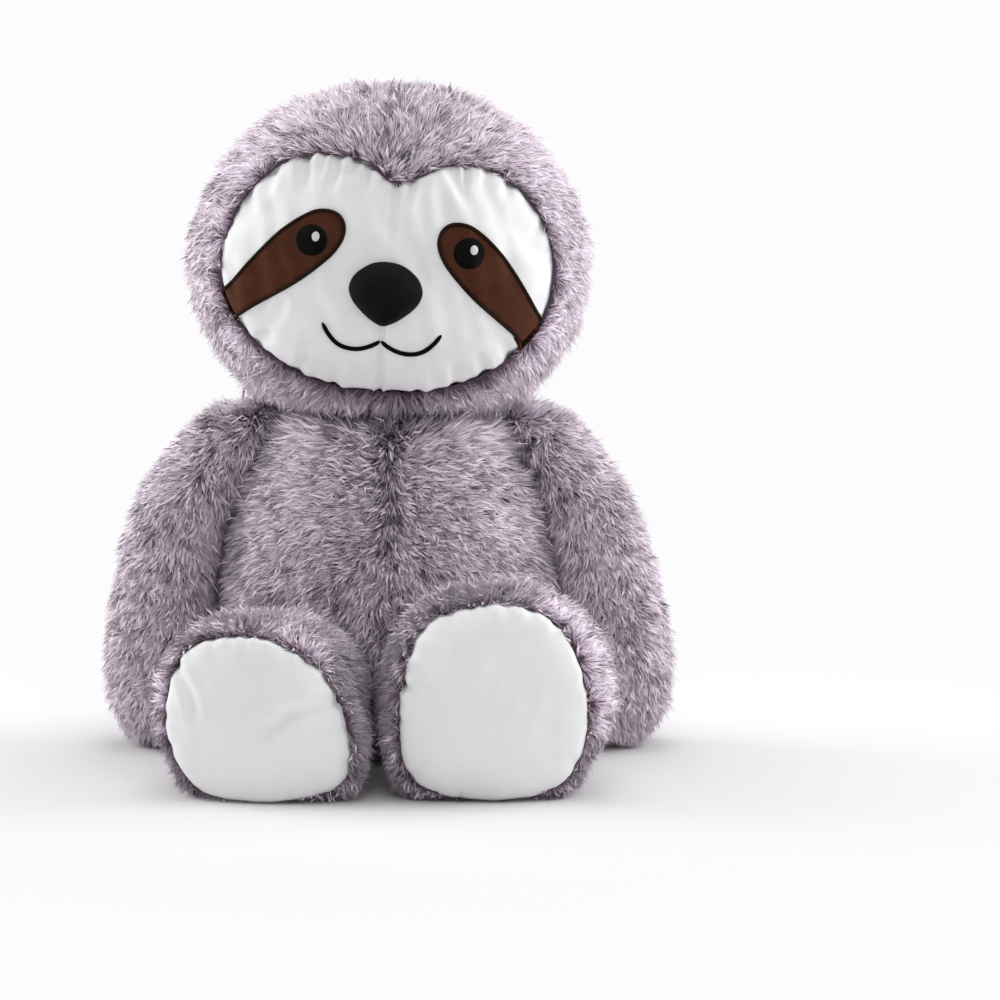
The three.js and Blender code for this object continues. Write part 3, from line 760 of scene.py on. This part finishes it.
# Where the cloth is drawn into a fold, in millimetres across and up: from one place to another,
# how deep and how wide, and True where it keeps its depth to the end
FACE_FOLDS = [
    (-55, 75, -53.7, 48, 2.9, 3), (-43.5, 77, -44, 60, 2, 2.4), (-35, 76, -39, 50, 2.6, 3),
    (-25, 74, -30, 60, 1.8, 2.6), (0.4, 64, -0.1, 46, 2, 2.2), (-0.1, 50, -2.2, 26, 1.2, 1.8),
    (8, 66, 5, 45, 2.1, 2.4), (39, 78, 40, 61, 2.2, 1.7), (31, 74, 43, 52, 2.2, 3),
    (52, 77, 50, 61, 1.7, 2.6), (66, 71, 60, 56, 1.8, 3), (-73, 63, -77, 46, 2, 3),
    (-87, 49, -82, 36, 1.4, 3), (88, 48, 80, 39, 1.4, 3), (-16, 71, -18, 56, 1.6, 2.4),
    (-60, -13, -63, -30, 1.4, 3), (-24, -61, -25, -41, 1.4, 2.4), (25, -58, 24, -43, 1.4, 2.4),
    (47, -52, 44, -34, 1.8, 2.6), (64, -43, 56, -27, 1.8, 3), (78, -31, 67, -17, 1.7, 3),
    (-47, -53, -40, -38, 1.7, 2.8), (-72, -38, -62, -28, 1.7, 3),
    (2.5, -62, 0.3, -34, 2.1, 1.2, True), (-0.2, -17, 0.2, -32, 1.4, 1.2, True),
]


# How deep the folds draw the cloth in at a place, with a low ridge along each side of a fold
def fold_depth(folds, u, v):
    dip = ridge = inside = 0
    p = Vector((u, v)) * 1000
    for x, y, end_x, end_y, depth, width, *held in folds:
        start, line = Vector((x, y)), Vector((end_x - x, end_y - y))
        along = max(0, min(1, (p - start).dot(line) / line.length_squared))
        away = (p - start - line * along).length
        strength = 1 if held else 1 - soften(along, 0.35, 1)
        inside = max(inside, strength * math.exp(-(away / width) ** 2))
        dip = max(dip, depth * strength * math.exp(-(away / width) ** 2))
        ridge = max(ridge, 0.45 * depth * strength * math.exp(-((away - 2 * width) / width) ** 2))
    return (dip - ridge * max(0, 1 - 2 * inside)) * 0.001


smooth_plush = Cloth("smooth_plush")
fluff = smooth_plush.speckle(1400, 2)
drift = smooth_plush.speckle(90, 2, 1, 1, 0.5)
white = smooth_plush.colour(drift, (0.83, 0.83, 0.83), (0.91, 0.91, 0.915))
smooth_plush.finish(Base_Color=white, Roughness=0.75, Specular_IOR_Level=0.2, Sheen_Weight=0.08,
                    Sheen_Roughness=0.4, Normal=smooth_plush.bump(fluff * 0.6 + drift, 0.0003, 0.6))


# The shares of a cloth's rings: some for its tucked edge, then even steps to the middle
def ring_shares(edge, count):
    return edge + [edge[-1] * (1 - i / count) for i in range(1, count + 1)]


# A smooth cloth: cut out, laid on a limb, eased, and drawn in at its edge and its folds
def smooth_cloth(name, flat, lay, draw_in, towards, thickness):
    for v in flat.verts:
        v.co = lay(v.co.x, v.co.z)
    for _ in range(6):
        smooth(flat, [v for v in flat.verts if not v.is_boundary])
    face_forward(flat, towards)
    flat.normal_update()
    move_all({v: draw_in(v.co, v.normal) for v in flat.verts})
    thicken(flat, thickness)
    return as_piece(flat, name, smooth_plush.material)


def face_drawn_in(p, n):
    place, q = on_face(p)
    tuck = 0.0042 * soften(share_of(face_outline, place), 0.965, 1.05)
    ripple = 0.0005 * noise.noise(p * 110) + 0.0009 * noise.noise(p * 46)
    ripple += 0.0019 * noise.noise(Vector((p.x * 95 + 20 * p.z, 7, p.z * 34)))
    return p - n * (fold_depth(FACE_FOLDS, place.x, place.y) + tuck - ripple)


FORWARD = Vector((0, -1, 0))
flat = cut_cloth([p * 1.05 for p in face_outline], MIDDLE,
                 ring_shares([0.99, 0.98, 0.965, 0.95], 52), 300)
face = smooth_cloth("face_cloth", flat, face_point, face_drawn_in, FORWARD, 0.0028)
sew(face, "head", "face_panel", slot="satin")

# ---- Eye bands ----
# A brown patch of short velvety pile round each eye, running out and down to the edge of the
# face, laid on the face and held by a thin dark satin stitch along its edge.
BAND_EDGE = [
    (38.5, 43.8), (45.5, 42.4), (54.5, 36.8), (64, 28.6), (72, 19.6), (80, 9.5), (89, -3),
    (99, -16), (93, -29), (84, -22.3), (75, -15.3), (60, -4.8), (50.6, 2.2), (41.8, 10),
    (33.5, 18.5), (28.5, 26.5), (27, 33), (28.3, 38.6), (32.3, 42.6),
]
laid_on = surface_of(face.data)


def laid_point(u, v, height):
    hit = laid_on.ray_cast(before_face(u, v), BACKWARD)
    base = face_point(u, v)
    if hit[0] is None:
        return base
    out = (base - face_point(u, v, 0.001)).normalized()
    return hit[0] + out * height


velvet = Cloth("velvet")
short_pile = velvet.speckle(1500, 3, 1, 1, 0.6)
brown = velvet.colour(velvet.speckle(120, 2), (0.02, 0.006, 0.003), (0.085, 0.025, 0.012))
brown = velvet.colour(short_pile * 0.6, brown, (0.095, 0.035, 0.018))
velvet.finish(Base_Color=brown, Roughness=0.85, Specular_IOR_Level=0.08, Sheen_Weight=0.12,
              Sheen_Tint=(0.9, 0.4, 0.25, 1), Normal=velvet.bump(short_pile, 0.0004, 0.8))


# Stitching thread, with its twist running along the stitches; each turn is painted lighter on its
# crest and darker in its groove, a painted highlight and painted shade over its bump
def thread_cloth(name, dark, light, pitch):
    thread = Cloth(name)
    run = thread.node("ShaderNodeSeparateXYZ", out="X",
                      Vector=thread.node("ShaderNodeUVMap", {"uv_map": "run"}))
    twist = (run * (2 * math.pi / pitch)).maths("SINE") * 0.5 + 0.5
    # Painted highlight on the crest of each turn and painted shade in its groove
    colour = thread.colour(twist, dark, light)
    return thread.finish(Base_Color=colour, Roughness=0.6, Specular_IOR_Level=0.06,
                         Normal=thread.bump(twist, 0.0003, 0.9))


ROPE_SIDES = 8


# A row of satin stitches: an oval rope laid along a line on the face, slimmer at open ends
def stitched_row(name, line, closed, width, height, material, lift=0.0):
    bm = bmesh.new()
    run = bm.loops.layers.uv.new("run")
    count = len(line)
    rings = [bmesh.ops.create_circle(bm, segments=ROPE_SIDES, radius=1)["verts"]]
    edges = bm.edges[:]
    for i in range(1, count):
        ring, edges = grow_ring(bm, edges)
        rings.append(ring)
    far, lengths = 0.0, []
    for i, ring in enumerate(rings):
        here = line[i]
        after = line[(i + 1) % count] if closed else line[min(i + 1, count - 1)]
        before = line[i - 1] if closed or i else line[0]
        ahead = (after - before).normalized()
        if i:
            far += (here - line[i - 1]).length
        lengths.append(far)
        across = Vector((-ahead.y, ahead.x))
        swell = 1 if closed else max(0.15, min(1, min(i, count - 1 - i) / 3)) ** 0.5
        for k, v in enumerate(ring):
            angle = 2 * math.pi * k / ROPE_SIDES
            spot = here + across * (math.cos(angle) * width / 2 * swell)
            v.co = laid_point(spot.x, spot.y, lift + math.sin(angle) * height * swell)
    if closed:
        ends = [e for end in (rings[0], rings[-1]) for e in bm.edges
                if all(v in end for v in e.verts)]
        bmesh.ops.bridge_loops(bm, edges=ends)
    else:
        for ring in (rings[0], rings[-1]):
            bmesh.ops.contextual_create(bm, geom=ring)
    bmesh.ops.recalc_face_normals(bm, faces=bm.faces[:])
    where = {v: lengths[i] for i, ring in enumerate(rings) for v in ring}
    for f in bm.faces:
        values = [where[c.vert] for c in f.loops]
        wraps = max(values) - min(values) > far / 2
        for c, value in zip(f.loops, values):
            c[run].uv = (value + (far if wraps and value < far / 2 else 0), 0)
    return as_piece(bm, name, material)


THREAD = 0.0005  # one turn of the thread's twist
dark_thread = thread_cloth("dark_thread", (0.006, 0.003, 0.002), (0.03, 0.014, 0.009), 0.0006)
black_thread = thread_cloth("black_thread", (0.0006, 0.0005, 0.0004), (0.004, 0.0036, 0.0032),
                            THREAD)


# Points along a closed outline, evenly apart
def evenly(outline, count):
    bm = cut_cloth(outline, MIDDLE, [], count)
    points = [v.co.xz for v in bm.verts]
    bm.free()
    return points


HANDS = (("left", 1), ("right", -1))
BAND_STANDS, BAND_SUNK = 0.0018, 0.0006  # its middle over its edge, and its edge in the face
for name, hand in HANDS:
    edge = [(hand * u, v) for u, v in (BAND_EDGE if hand > 0 else BAND_EDGE[::-1])]
    outline = [p / max(1, share_of(face_outline, p) / 1.012)
               for p in rounded_outline(edge, steps=5)]
    middle = Vector((hand * 0.056, 0.012))
    flat_on = Matrix.Translation((middle.x, 0, middle.y)) @ Matrix.Rotation(math.pi / 2, 4, "X")
    bm = bmesh.new()
    bmesh.ops.create_grid(bm, x_segments=90, y_segments=90, size=0.05, matrix=flat_on)
    away = [f for f in bm.faces if share_of(outline, f.calc_center_median().xz, middle) > 1]
    bmesh.ops.delete(bm, geom=away, context="FACES")
    for v in bm.verts:
        place = v.co.xz
        share = share_of(outline, place, middle)
        if v.is_boundary or share > 1:
            place, share = middle + (place - middle) / share, 1
        swell = math.sqrt(max(0, 1 - share ** 24))
        v.co = laid_point(place.x, place.y, -BAND_SUNK + BAND_STANDS * swell)
    face_forward(bm, FORWARD)
    thicken(bm, 0.0008)
    patch = as_piece(bm, f"eye_band_{name}_velvet", velvet.material)
    sew(patch, "head", f"eye_band_{name}", slot="band", fill=0.3)
    inner = [middle.lerp(p, 0.985) for p in evenly(outline, 170)]
    row = stitched_row(f"eye_band_{name}_edging", inner, True, 0.0022, 0.0011, dark_thread,
                       0.0008)
    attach(row, "head")

# ---- Eyes ----
# Each eye is a round of black satin stitch on the band, with a small white stitched glint high
# and to the same side in both.
EYES = {"left": (0.0451, 0.0274), "right": (-0.0452, 0.0257)}
EYE_SIZE = 0.0182
SPOT_SIDES = 48


# A round of satin stitches, whose threads all lie one way
def stitched_spot(name, u, v, wide, high, height, lift, material, turn=0.0):
    angles = [2 * math.pi * k / SPOT_SIDES for k in range(SPOT_SIDES)]
    outline = [Vector((u + wide / 2 * math.cos(angle), v + high / 2 * math.sin(angle)))
               for angle in angles]
    bm = cut_cloth(outline, Vector((u, v)), [0.97, 0.9, 0.8, 0.65, 0.5, 0.3, 0.15, 0], SPOT_SIDES)
    run = bm.loops.layers.uv.new("run")
    for f in bm.faces:
        for c in f.loops:
            c[run].uv = (c.vert.co.x * math.sin(turn) + c.vert.co.z * math.cos(turn), 0)
    for corner in bm.verts:
        place = corner.co.xz
        share = min(1, 2 * math.hypot((place.x - u) / wide, (place.y - v) / high))
        corner.co = laid_point(place.x, place.y, lift + height * math.sqrt(1 - share ** 4))
    face_forward(bm, FORWARD)
    thicken(bm, min(lift, height))
    return as_piece(bm, name, material)


white_thread = thread_cloth("white_thread", (0.8, 0.8, 0.8), (0.92, 0.92, 0.92), THREAD)
for name, (out, up) in EYES.items():
    eye = stitched_spot(f"eye_{name}_stitching", out, up, EYE_SIZE, EYE_SIZE, 0.0011, 0.001,
                        black_thread, 0.6)
    glint = stitched_spot(f"eye_glint_{name}_stitching", out + 0.0024, up + 0.0022, 0.0045,
                          0.0055, 0.0006, 0.002, white_thread, 1.2)
    sew(eye, "head", f"eye_{name}", slot="thread", fill=0.3)
    sew(glint, "head", f"eye_glint_{name}", slot="glint", fill=0.3)

# ---- Nose ----
# A padded rounded triangle of dull black short pile, stuffed a little and sewn to the face.
NOSE_EDGE = [
    (0, 18.2), (6.5, 17.5), (11.8, 15.3), (18.4, 9.8), (21.4, 3.4), (20.8, -2.2), (17.4, -7.8),
    (11.7, -13.2), (6, -17.2), (0, -19.4),
]
NOSE_STANDS, NOSE_SUNK, NOSE_STEPS = 0.014, 0.0015, 14
nose_outline = rounded_outline(NOSE_EDGE, mirror=True)
steps = [math.cos(math.radians(90 * i / NOSE_STEPS)) for i in range(1, NOSE_STEPS)] + [0]
bm = cut_cloth(nose_outline, MIDDLE, steps, 96)
front = (TO_HEAD @ face_point(0, 0)).y
for v in bm.verts:
    share = min(1, share_of(nose_outline, v.co.xz))
    swell = (1 - share ** 2.2) ** 0.55
    root = (TO_HEAD @ face_point(v.co.x, v.co.z)).y + NOSE_SUNK
    y = root + (front - NOSE_STANDS - root) * swell
    v.co = HEAD_PLACE @ Vector((v.co.x, y, v.co.z + NOSE_LEVEL))
face_forward(bm, FORWARD)
thicken(bm, 0.0015)
nose_pile = Cloth("nose_pile")
grain, worn = nose_pile.speckle(1100, 3), nose_pile.speckle(70, 1)
black = nose_pile.colour(grain * 0.5 + worn * 0.5, (0.0006, 0.0007, 0.0007),
                         (0.004, 0.0045, 0.0042))
nose_pile.finish(Base_Color=black, Roughness=0.7, Specular_IOR_Level=0.08,
                 Normal=nose_pile.bump(grain, 0.0004, 0.7))
nose = as_piece(bm, "nose_pad", nose_pile.material)
sew(nose, "head", "nose", slot="nose", fill=0.9)

# ---- Mouth ----
# Two curved lines of black satin stitch, from the seam under the nose out to the cheeks.
MOUTH_PATH = [
    (0.3, -28.2), (5.8, -31.6), (12.8, -33.9), (19.8, -33.8), (25.8, -31.4), (30.7, -26.6),
    (34.9, -20.4),
]
ends = [MOUTH_PATH[0], *MOUTH_PATH, MOUTH_PATH[-1]]
for name, hand in HANDS:
    line = [Vector((hand * place.x, place.y)) for i in range(len(MOUTH_PATH) - 1)
            for place in rounded_stretch(ends[i:i + 4], 8)]
    row = stitched_row(f"mouth_{name}_stitching", line, False, 0.0025, 0.0013, black_thread,
                       0.0003)
    sew(row, "head", f"mouth_{name}", slot="thread", fill=0.3)

# ---- Arms ----
# Each arm is a long bag of a front and a back panel, sewn to the shoulder, slim above and full at
# the hand, where its own bag of beads lies. It hangs against the body with its pile combed down.
def arm_coat(hand):
    def coat(p, n):
        high = soften(p.z, 0.1, 0.2)
        nap = Vector((hand * (0.15 + 0.5 * high), 0, -1))
        seam = in_seam(p.y)
        # The pile's tint is lowered along the seam: painted shade where the pile parts over it
        return {"nap": nap, "tint": 0.52 - 0.1 * seam, "rise": 1 - 0.25 * seam}
    return coat


for name, hand in HANDS:
    for face, side in (("front", 1), ("back", -1)):
        panel = plush_panel(f"arm_{name}_{face}_plush", f"arm_{name}",
                            [((0, 0, 0), (0, side, 0))], arm_coat(hand),
                            seed=20 + 3 * hand + side)
        sew(panel, f"arm_{name}", f"arm_{name}_{face}_panel")

# ---- Legs ----
# Short full legs of an inner and an outer panel with a seam along the top, held forward. The end
# is let in with a sole, so the pile stands round it and rolls over its edge, painted paler there as
# lit.
# In millimetres: the hip, the middle of the foot's end, and on it the sole's middle and outline.
LEGS = {
    "left": {"hand": 1, "hip": (53, -36, 52), "foot": (63, -204, 61), "middle": (-5, -3),
             "sole": [
        (-38.5, 41), (-26.6, 47.2), (-8, 50.3), (12, 48.5), (27, 41.5), (37.5, 30), (44, 14),
        (47.5, -5), (47, -24), (40.5, -43), (26, -54.5), (5, -58.6), (-16, -59), (-34, -56.2),
        (-48.5, -48.5), (-55.8, -34), (-57.5, -15.4), (-56, 3), (-51, 22), (-46, 33),
    ]},
    "right": {"hand": -1, "hip": (-53, -36, 44), "foot": (-81, -204, 53), "middle": (4.5, -4),
              "sole": [
        (-24.7, 38.1), (-11.9, 40.3), (1.9, 40.8), (15.6, 38.2), (29.3, 31), (41, 21.2),
        (48.4, 9.8), (52.8, 0), (55.5, -11), (56.6, -24), (54, -36.5), (46, -45.3), (31.6, -50),
        (16.2, -51.8), (0.8, -52.2), (-14.7, -50.8), (-27.5, -46.3), (-36.5, -37), (-42.4, -27),
        (-45.8, -16.5), (-47, -4.7), (-46, 4.5), (-44.4, 14), (-41, 23.5), (-34.8, 32),
    ]},
}
for name, leg in LEGS.items():
    hip, foot, middle = (Vector(leg[key]) * 0.001 for key in ("hip", "foot", "middle"))
    forward = (foot - hip).normalized()
    across = Vector((0, 0, 1)).cross(forward).normalized()
    up = forward.cross(across)
    leg.update(foot=foot, forward=forward, across=across, up=up, hip=hip, middle=middle,
               outline=rounded_outline(leg["sole"], steps=4))


# Where a point lies across and up the sole, how far before it, and its share of the outline
def on_sole(leg, p):
    q = p - leg["foot"]
    place = Vector((q.dot(leg["across"]), q.dot(leg["up"])))
    return place, q.dot(leg["forward"]), share_of(leg["outline"], place, leg["middle"])


def along_sole(leg, step):
    return leg["across"] * step.x + leg["up"] * step.y


FOOT_SHARE = 1.13  # how far the leg stands out round the edge of its sole
FOOT_DEEP = -0.085  # the part of the leg before this is stuffed out
END_DEEP = -0.03  # and the part before this can be its end


# Stuffs the end of a leg out to the corners of its sole
def fill_out(leg, mesh):
    bm = bmesh.new()
    bm.from_mesh(mesh)
    bm.normal_update()
    moves = {}
    for v in bm.verts:
        place, deep, share = on_sole(leg, v.co)
        if deep < FOOT_DEEP:
            continue
        wall = soften(1 - abs(v.normal.dot(leg["forward"])), 0.05, 0.6)
        grow = max(0, FOOT_SHARE / max(share, 0.3) - 1) * wall * soften(deep, FOOT_DEEP, -0.035)
        new = v.co + along_sole(leg, (place - leg["middle"]) * grow)
        moves[v] = kept_up(new, min(v.co.z, PILE_LOW))
    move_all(moves)
    for _ in range(8):
        smooth(bm, [v for v in moves if v.co.z > 0.002])
    bm.to_mesh(mesh)
    bm.free()


for name, leg in LEGS.items():
    fill_out(leg, forms[f"leg_{name}"])
    surfaces[f"leg_{name}"] = surface_of(forms[f"leg_{name}"])


def leg_panel(name, side, leg, seed):
    # The opening for the sole is cut less deep where the leg rests on the floor
    def opening(p):
        place, deep, share = on_sole(leg, p)
        reach = 0.009 if p.z < 0.012 else 0.025
        return deep > -reach and share < 1

    def rim(p):
        place, deep, share = on_sole(leg, p)
        if deep < END_DEEP or not 0.85 < share < 1.15:
            return p
        return p + along_sole(leg, leg["middle"] + (place - leg["middle"]) / share - place)

    def coat(p, n):
        place, deep, share = on_sole(leg, p)
        if deep <= END_DEEP:
            share = FAR_OUT
        seam = in_seam(place.x)
        back = leg["forward"] * 0.5 + leg["across"] * either_side(place.x / 0.02) * 0.25
        back -= leg["up"] * 0.55
        front = soften(deep, -0.035, -0.012)
        edge, lean = 1 - soften(share, 1, 1.13), soften(share, 1, 1.08)
        rolled = along_sole(leg, (place - leg["middle"]).normalized())
        rolled = rolled * (1.1 * lean - 0.1) + leg["forward"] * (0.3 - lean)
        under = 1 - soften(p.z, 0.004, 0.02)
        pressed = (1 - soften(p.z, 0.004, 0.014)) * soften(deep, -0.04, -0.02)
        # Near the end the pile's tint is raised: painted light on the rim round the sole
        return {"nap": back.lerp(rolled, front), "rise": 1 - 0.2 * seam - 0.35 * front,
                "tint": 0.5 + 0.12 * front, "combed": 0.5 + 0.5 * lean,
                "reach": 0.0098 - 0.0015 * front - 0.002 * edge - 0.004 * under,
                "density": 1 - 0.9 * pressed}

    keep = leg["across"] * (leg["hand"] if side == "inner" else -leg["hand"])
    return plush_panel(f"leg_{name}_{side}_plush", f"leg_{name}", [(leg["hip"], keep)],
                       coat, opening, rim, seed)


for number, (name, leg) in enumerate(LEGS.items()):
    for k, side in enumerate(("inner", "outer")):
        panel = leg_panel(name, side, leg, 30 + 2 * number + k)
        sew(panel, f"leg_{name}", f"leg_{name}_{side}_panel")

# ---- Soles ----
# A round of the same smooth white plush as the face, stuffed tight and eased into the end of the
# leg, so that its edge is drawn into small gathers.
SOLE_FOLDS = {
    "right": [
        (-43, 27, -31, 9, 2, 2.8, True), (-31, 9, -25, -12, 2, 2.8), (24, 0, 6, -18, 2, 3),
        (50, 5, 24, 0, 2, 3, True), (0, 43, -0.7, 30, 1, 2.4), (-8, 43, -7, 32, 0.8, 2.4),
        (8, 42, 8, 30, 0.8, 2.4), (-50, -3, -37, -8, 1, 2.6), (37, 33, 29, 22, 1, 2.6),
        (46, 19, 35, 11, 1, 2.6), (24, 37, 20, 27, 0.8, 2.4), (58, -10, 46, -9, 0.8, 2.6),
        (-20, 41, -18, 31, 0.8, 2.4), (58, -30, 46, -27, 0.8, 2.9),
        (-46, -23, -34, -19, 0.7, 2.9),
    ],
    "left": [
        (-17, 51, -15, 35, 1.1, 2.6), (-10, 52, -8, 40, 1, 2.2), (2, 52, 2, 40, 0.8, 2.4),
        (16, 50, 14, 38, 1, 2.6), (-50, 13, -34, -7, 2.5, 3.3), (-59, 8, -44, -3, 2.2, 2.6),
        (-59, -14, -46, -14, 0.8, 2.4), (31, 42, 26, 31, 1, 2.6), (48, 8, 38, 6, 0.7, 2.9),
        (-31, 48, -26, 36, 1, 2.6), (-46, 38, -37, 29, 1, 2.6), (43, -41, 34, -33, 0.8, 2.9),
        (-52, -47, -42, -38, 0.8, 2.9),
    ],
}
SOLE_REACH = 0.975  # the part of the sole that lies on the leg, the rest turns in round it
SOLE_LOW = 0.006  # the leg's form is followed no lower than this


def leg_sole(name, leg):
    middle, forward = leg["middle"], leg["forward"]
    base = surface_of(forms[f"leg_{name}"])

    # A point of the sole: on the leg's end, or turned in along its side
    def sole_point(a, b):
        place = Vector((a, b))
        share = share_of(leg["outline"], place, middle)
        held = middle + (place - middle) * min(1, SOLE_REACH / max(share, 0.1))
        wall = place - held
        place = leg["foot"] + along_sole(leg, held)
        lift = min(0, place.z - SOLE_LOW)
        place.z -= lift
        hit = base.ray_cast(place + forward * 0.1, -forward)
        if hit[0] is None or (hit[0] - leg["foot"]).dot(forward) < END_DEEP:
            near = base.find_nearest(place)[0]
            place += forward * (near - place).dot(forward)
        else:
            place = hit[0]
        place.z += lift
        return place + along_sole(leg, wall) - forward * wall.length * 1.4

    def drawn_in(p, n):
        place, deep, share = on_sole(leg, p)
        tuck = 0.0036 * soften(share, 0.965, 1.06) - 0.003 * (1 - share ** 3 if share < 1 else 0)
        ripple = 0.0019 * noise.noise(p * 30) + 0.0005 * noise.noise(p * 100)
        new = p - n * (fold_depth(SOLE_FOLDS[name], place.x, place.y) + tuck - ripple)
        return kept_up(new, CLOTH_LOW + 0.0042 * soften(share, 0.985, 1.03))

    flat = cut_cloth([middle + (p - middle) * 1.07 for p in leg["outline"]], middle,
                     ring_shares([0.985, 0.97, 0.955], 30), 200)
    return smooth_cloth(f"leg_{name}_sole_cloth", flat, sole_point, drawn_in, forward, 0.0026)


for name, leg in LEGS.items():
    sew(leg_sole(name, leg), f"leg_{name}", f"leg_{name}_sole", slot="satin")

# ---- Inside ----
# White fibre stuffing fills the bags, with the neck's own plug between body and head, and the
# weight is glass beads in a flat cotton pouch on the seat and in small bags in hands and feet.
stuffing = Cloth("stuffing")
curls = stuffing.speckle(350, 5, Distortion=1.5)
stuffing.finish(Base_Color=stuffing.colour(curls, (0.62, 0.62, 0.63), (0.86, 0.86, 0.87)),
                Roughness=0.95, Normal=stuffing.bump(curls, 0.001))
cotton = Cloth("cotton")
warp, weft = (cotton.node("ShaderNodeTexWave", {"bands_direction": way}, Vector=cotton.place(),
                          Scale=600) for way in "XY")
cotton.finish(Base_Color=cotton.colour(warp * weft, (0.55, 0.52, 0.46), (0.75, 0.72, 0.66)),
              Roughness=0.9, Normal=cotton.bump(warp + weft, 0.0002))
beads = Cloth("beads")
cells = beads.node("ShaderNodeTexVoronoi", Vector=beads.place(), Scale=900)
# Each bead is paler in its middle and darker at its edge: a painted highlight, with painted shade
# between the beads
beads.finish(Base_Color=beads.colour(cells, (0.75, 0.8, 0.8), (0.4, 0.46, 0.46)), Roughness=0.25,
             Normal=beads.bump(1 - cells, 0.0006))
for name, node in nodes.items():
    if "pouch" in name or name == "glass_beads":
        node.data.materials.clear()
        node.data.materials.append((cotton if "pouch" in name else beads).material)

UNDER = 0.0105  # the contents lie at least this far under the bag's form
LIMBS = ["head", "arm_left", "arm_right", "leg_left", "leg_right"]
for name, node in nodes.items():
    if name == "neck_filling" or not name.endswith(("filling", "bead_bag")):
        continue
    body = next((limb for limb in LIMBS if name.startswith(limb)), "torso")
    loose = name.endswith("bead_bag")
    bm = welded(node.data)
    bmesh.ops.subdivide_edges(bm, edges=bm.edges[:], cuts=1, use_grid_fill=True)
    for _ in range(4):
        smooth(bm, bm.verts)
    for v in bm.verts:
        near = surfaces[body].find_nearest(v.co)
        deep = (near[0] - v.co).dot(near[1])
        lump = 0.0012 * (noise.noise(v.co * (160 if loose else 45)) + 0.6)
        v.co -= near[1] * (max(0, UNDER - deep) + lump)
    kind, cloth = ("weight", beads) if loose else ("fibre", stuffing)
    inside = as_piece(bm, f"{name}_{kind}", cloth.material)
    sew(inside, body, name, slot="beads" if loose else "stuffing", fill=0.6)

# ---- Studio ----
# A pale floor that fades into white far behind the toy, and broad soft lights from both sides,
# from above and from the front.
WHITE = (0.98, 0.975, 0.985, 1)
bm = bmesh.new()
bmesh.ops.create_grid(bm, x_segments=1, y_segments=1, size=6)
paper = Cloth("paper")
ground = paper.node("ShaderNodeTexCoord", out="Object")
far = paper.node("ShaderNodeVectorMath", {"operation": "LENGTH"}, "Value", Vector=ground)
fade = (far * 3 - 0.55).maths("MAXIMUM", 0).maths("MINIMUM", 1)
matt = paper.node("ShaderNodeBsdfDiffuse", Color=(0.8, 0.8, 0.81, 1))
bright = paper.node("ShaderNodeEmission", Color=WHITE, Strength=1)
sheet = paper.node("ShaderNodeMixShader", _0=paper.seen() * fade, _1=matt, _2=bright)
paper.end("ShaderNodeOutputMaterial", sheet)
floor = as_piece(bm, "floor", paper.material)

world = bpy.data.worlds.new("studio")
bpy.context.scene.world = world
world.use_nodes = True
sky = Network(world.node_tree)
dim = sky.node("ShaderNodeBackground", Color=(1, 1, 1, 1), Strength=0.34)
backdrop = sky.node("ShaderNodeBackground", Color=WHITE, Strength=1)
sky.end("ShaderNodeOutputWorld",
        sky.node("ShaderNodeMixShader", _0=sky.seen(), _1=dim, _2=backdrop))


def soft_light(name, place, size, power):
    data = bpy.data.lights.new(name, "AREA")
    data.shape, data.size, data.energy = "SQUARE", size, power
    lamp = in_scene(name, data)
    lamp.location = place
    to_toy = Vector((0, 0, 0.2)) - lamp.location
    lamp.rotation_euler = to_toy.to_track_quat("-Z", "Y").to_euler()


soft_light("left_light", (-1.6, 0.45, 0.75), 1.2, 25)
soft_light("right_light", (1.6, 0.25, 0.7), 1.2, 24)
soft_light("top_light", (0.1, 0.1, 2.0), 1.4, 14)
soft_light("front_light", (0.2, -2.0, 1.2), 1.4, 9.8)

# ---- Camera ----
# Seen from just above the toy's middle, a little over two metres away.
VIEW_HEIGHT, VIEW_FAR, VIEW_RISE = 0.152, 2.0, math.radians(5.5)
camera_data = bpy.data.cameras.new("camera")
camera_data.sensor_width, camera_data.lens, camera_data.shift_x = 36, 120, 0.11
camera = in_scene("camera", camera_data)
camera.location = (0, -0.02 - VIEW_FAR * math.cos(VIEW_RISE),
                   VIEW_HEIGHT + VIEW_FAR * math.sin(VIEW_RISE))
camera.rotation_euler = (math.radians(90) - VIEW_RISE, 0, 0)
bpy.context.scene.camera = camera
bpy.context.scene.view_settings.view_transform = "Standard"

for kinds in (fibres, locks):
    for shape in list(kinds.objects):
        bpy.data.objects.remove(shape)
    bpy.data.collections.remove(kinds)
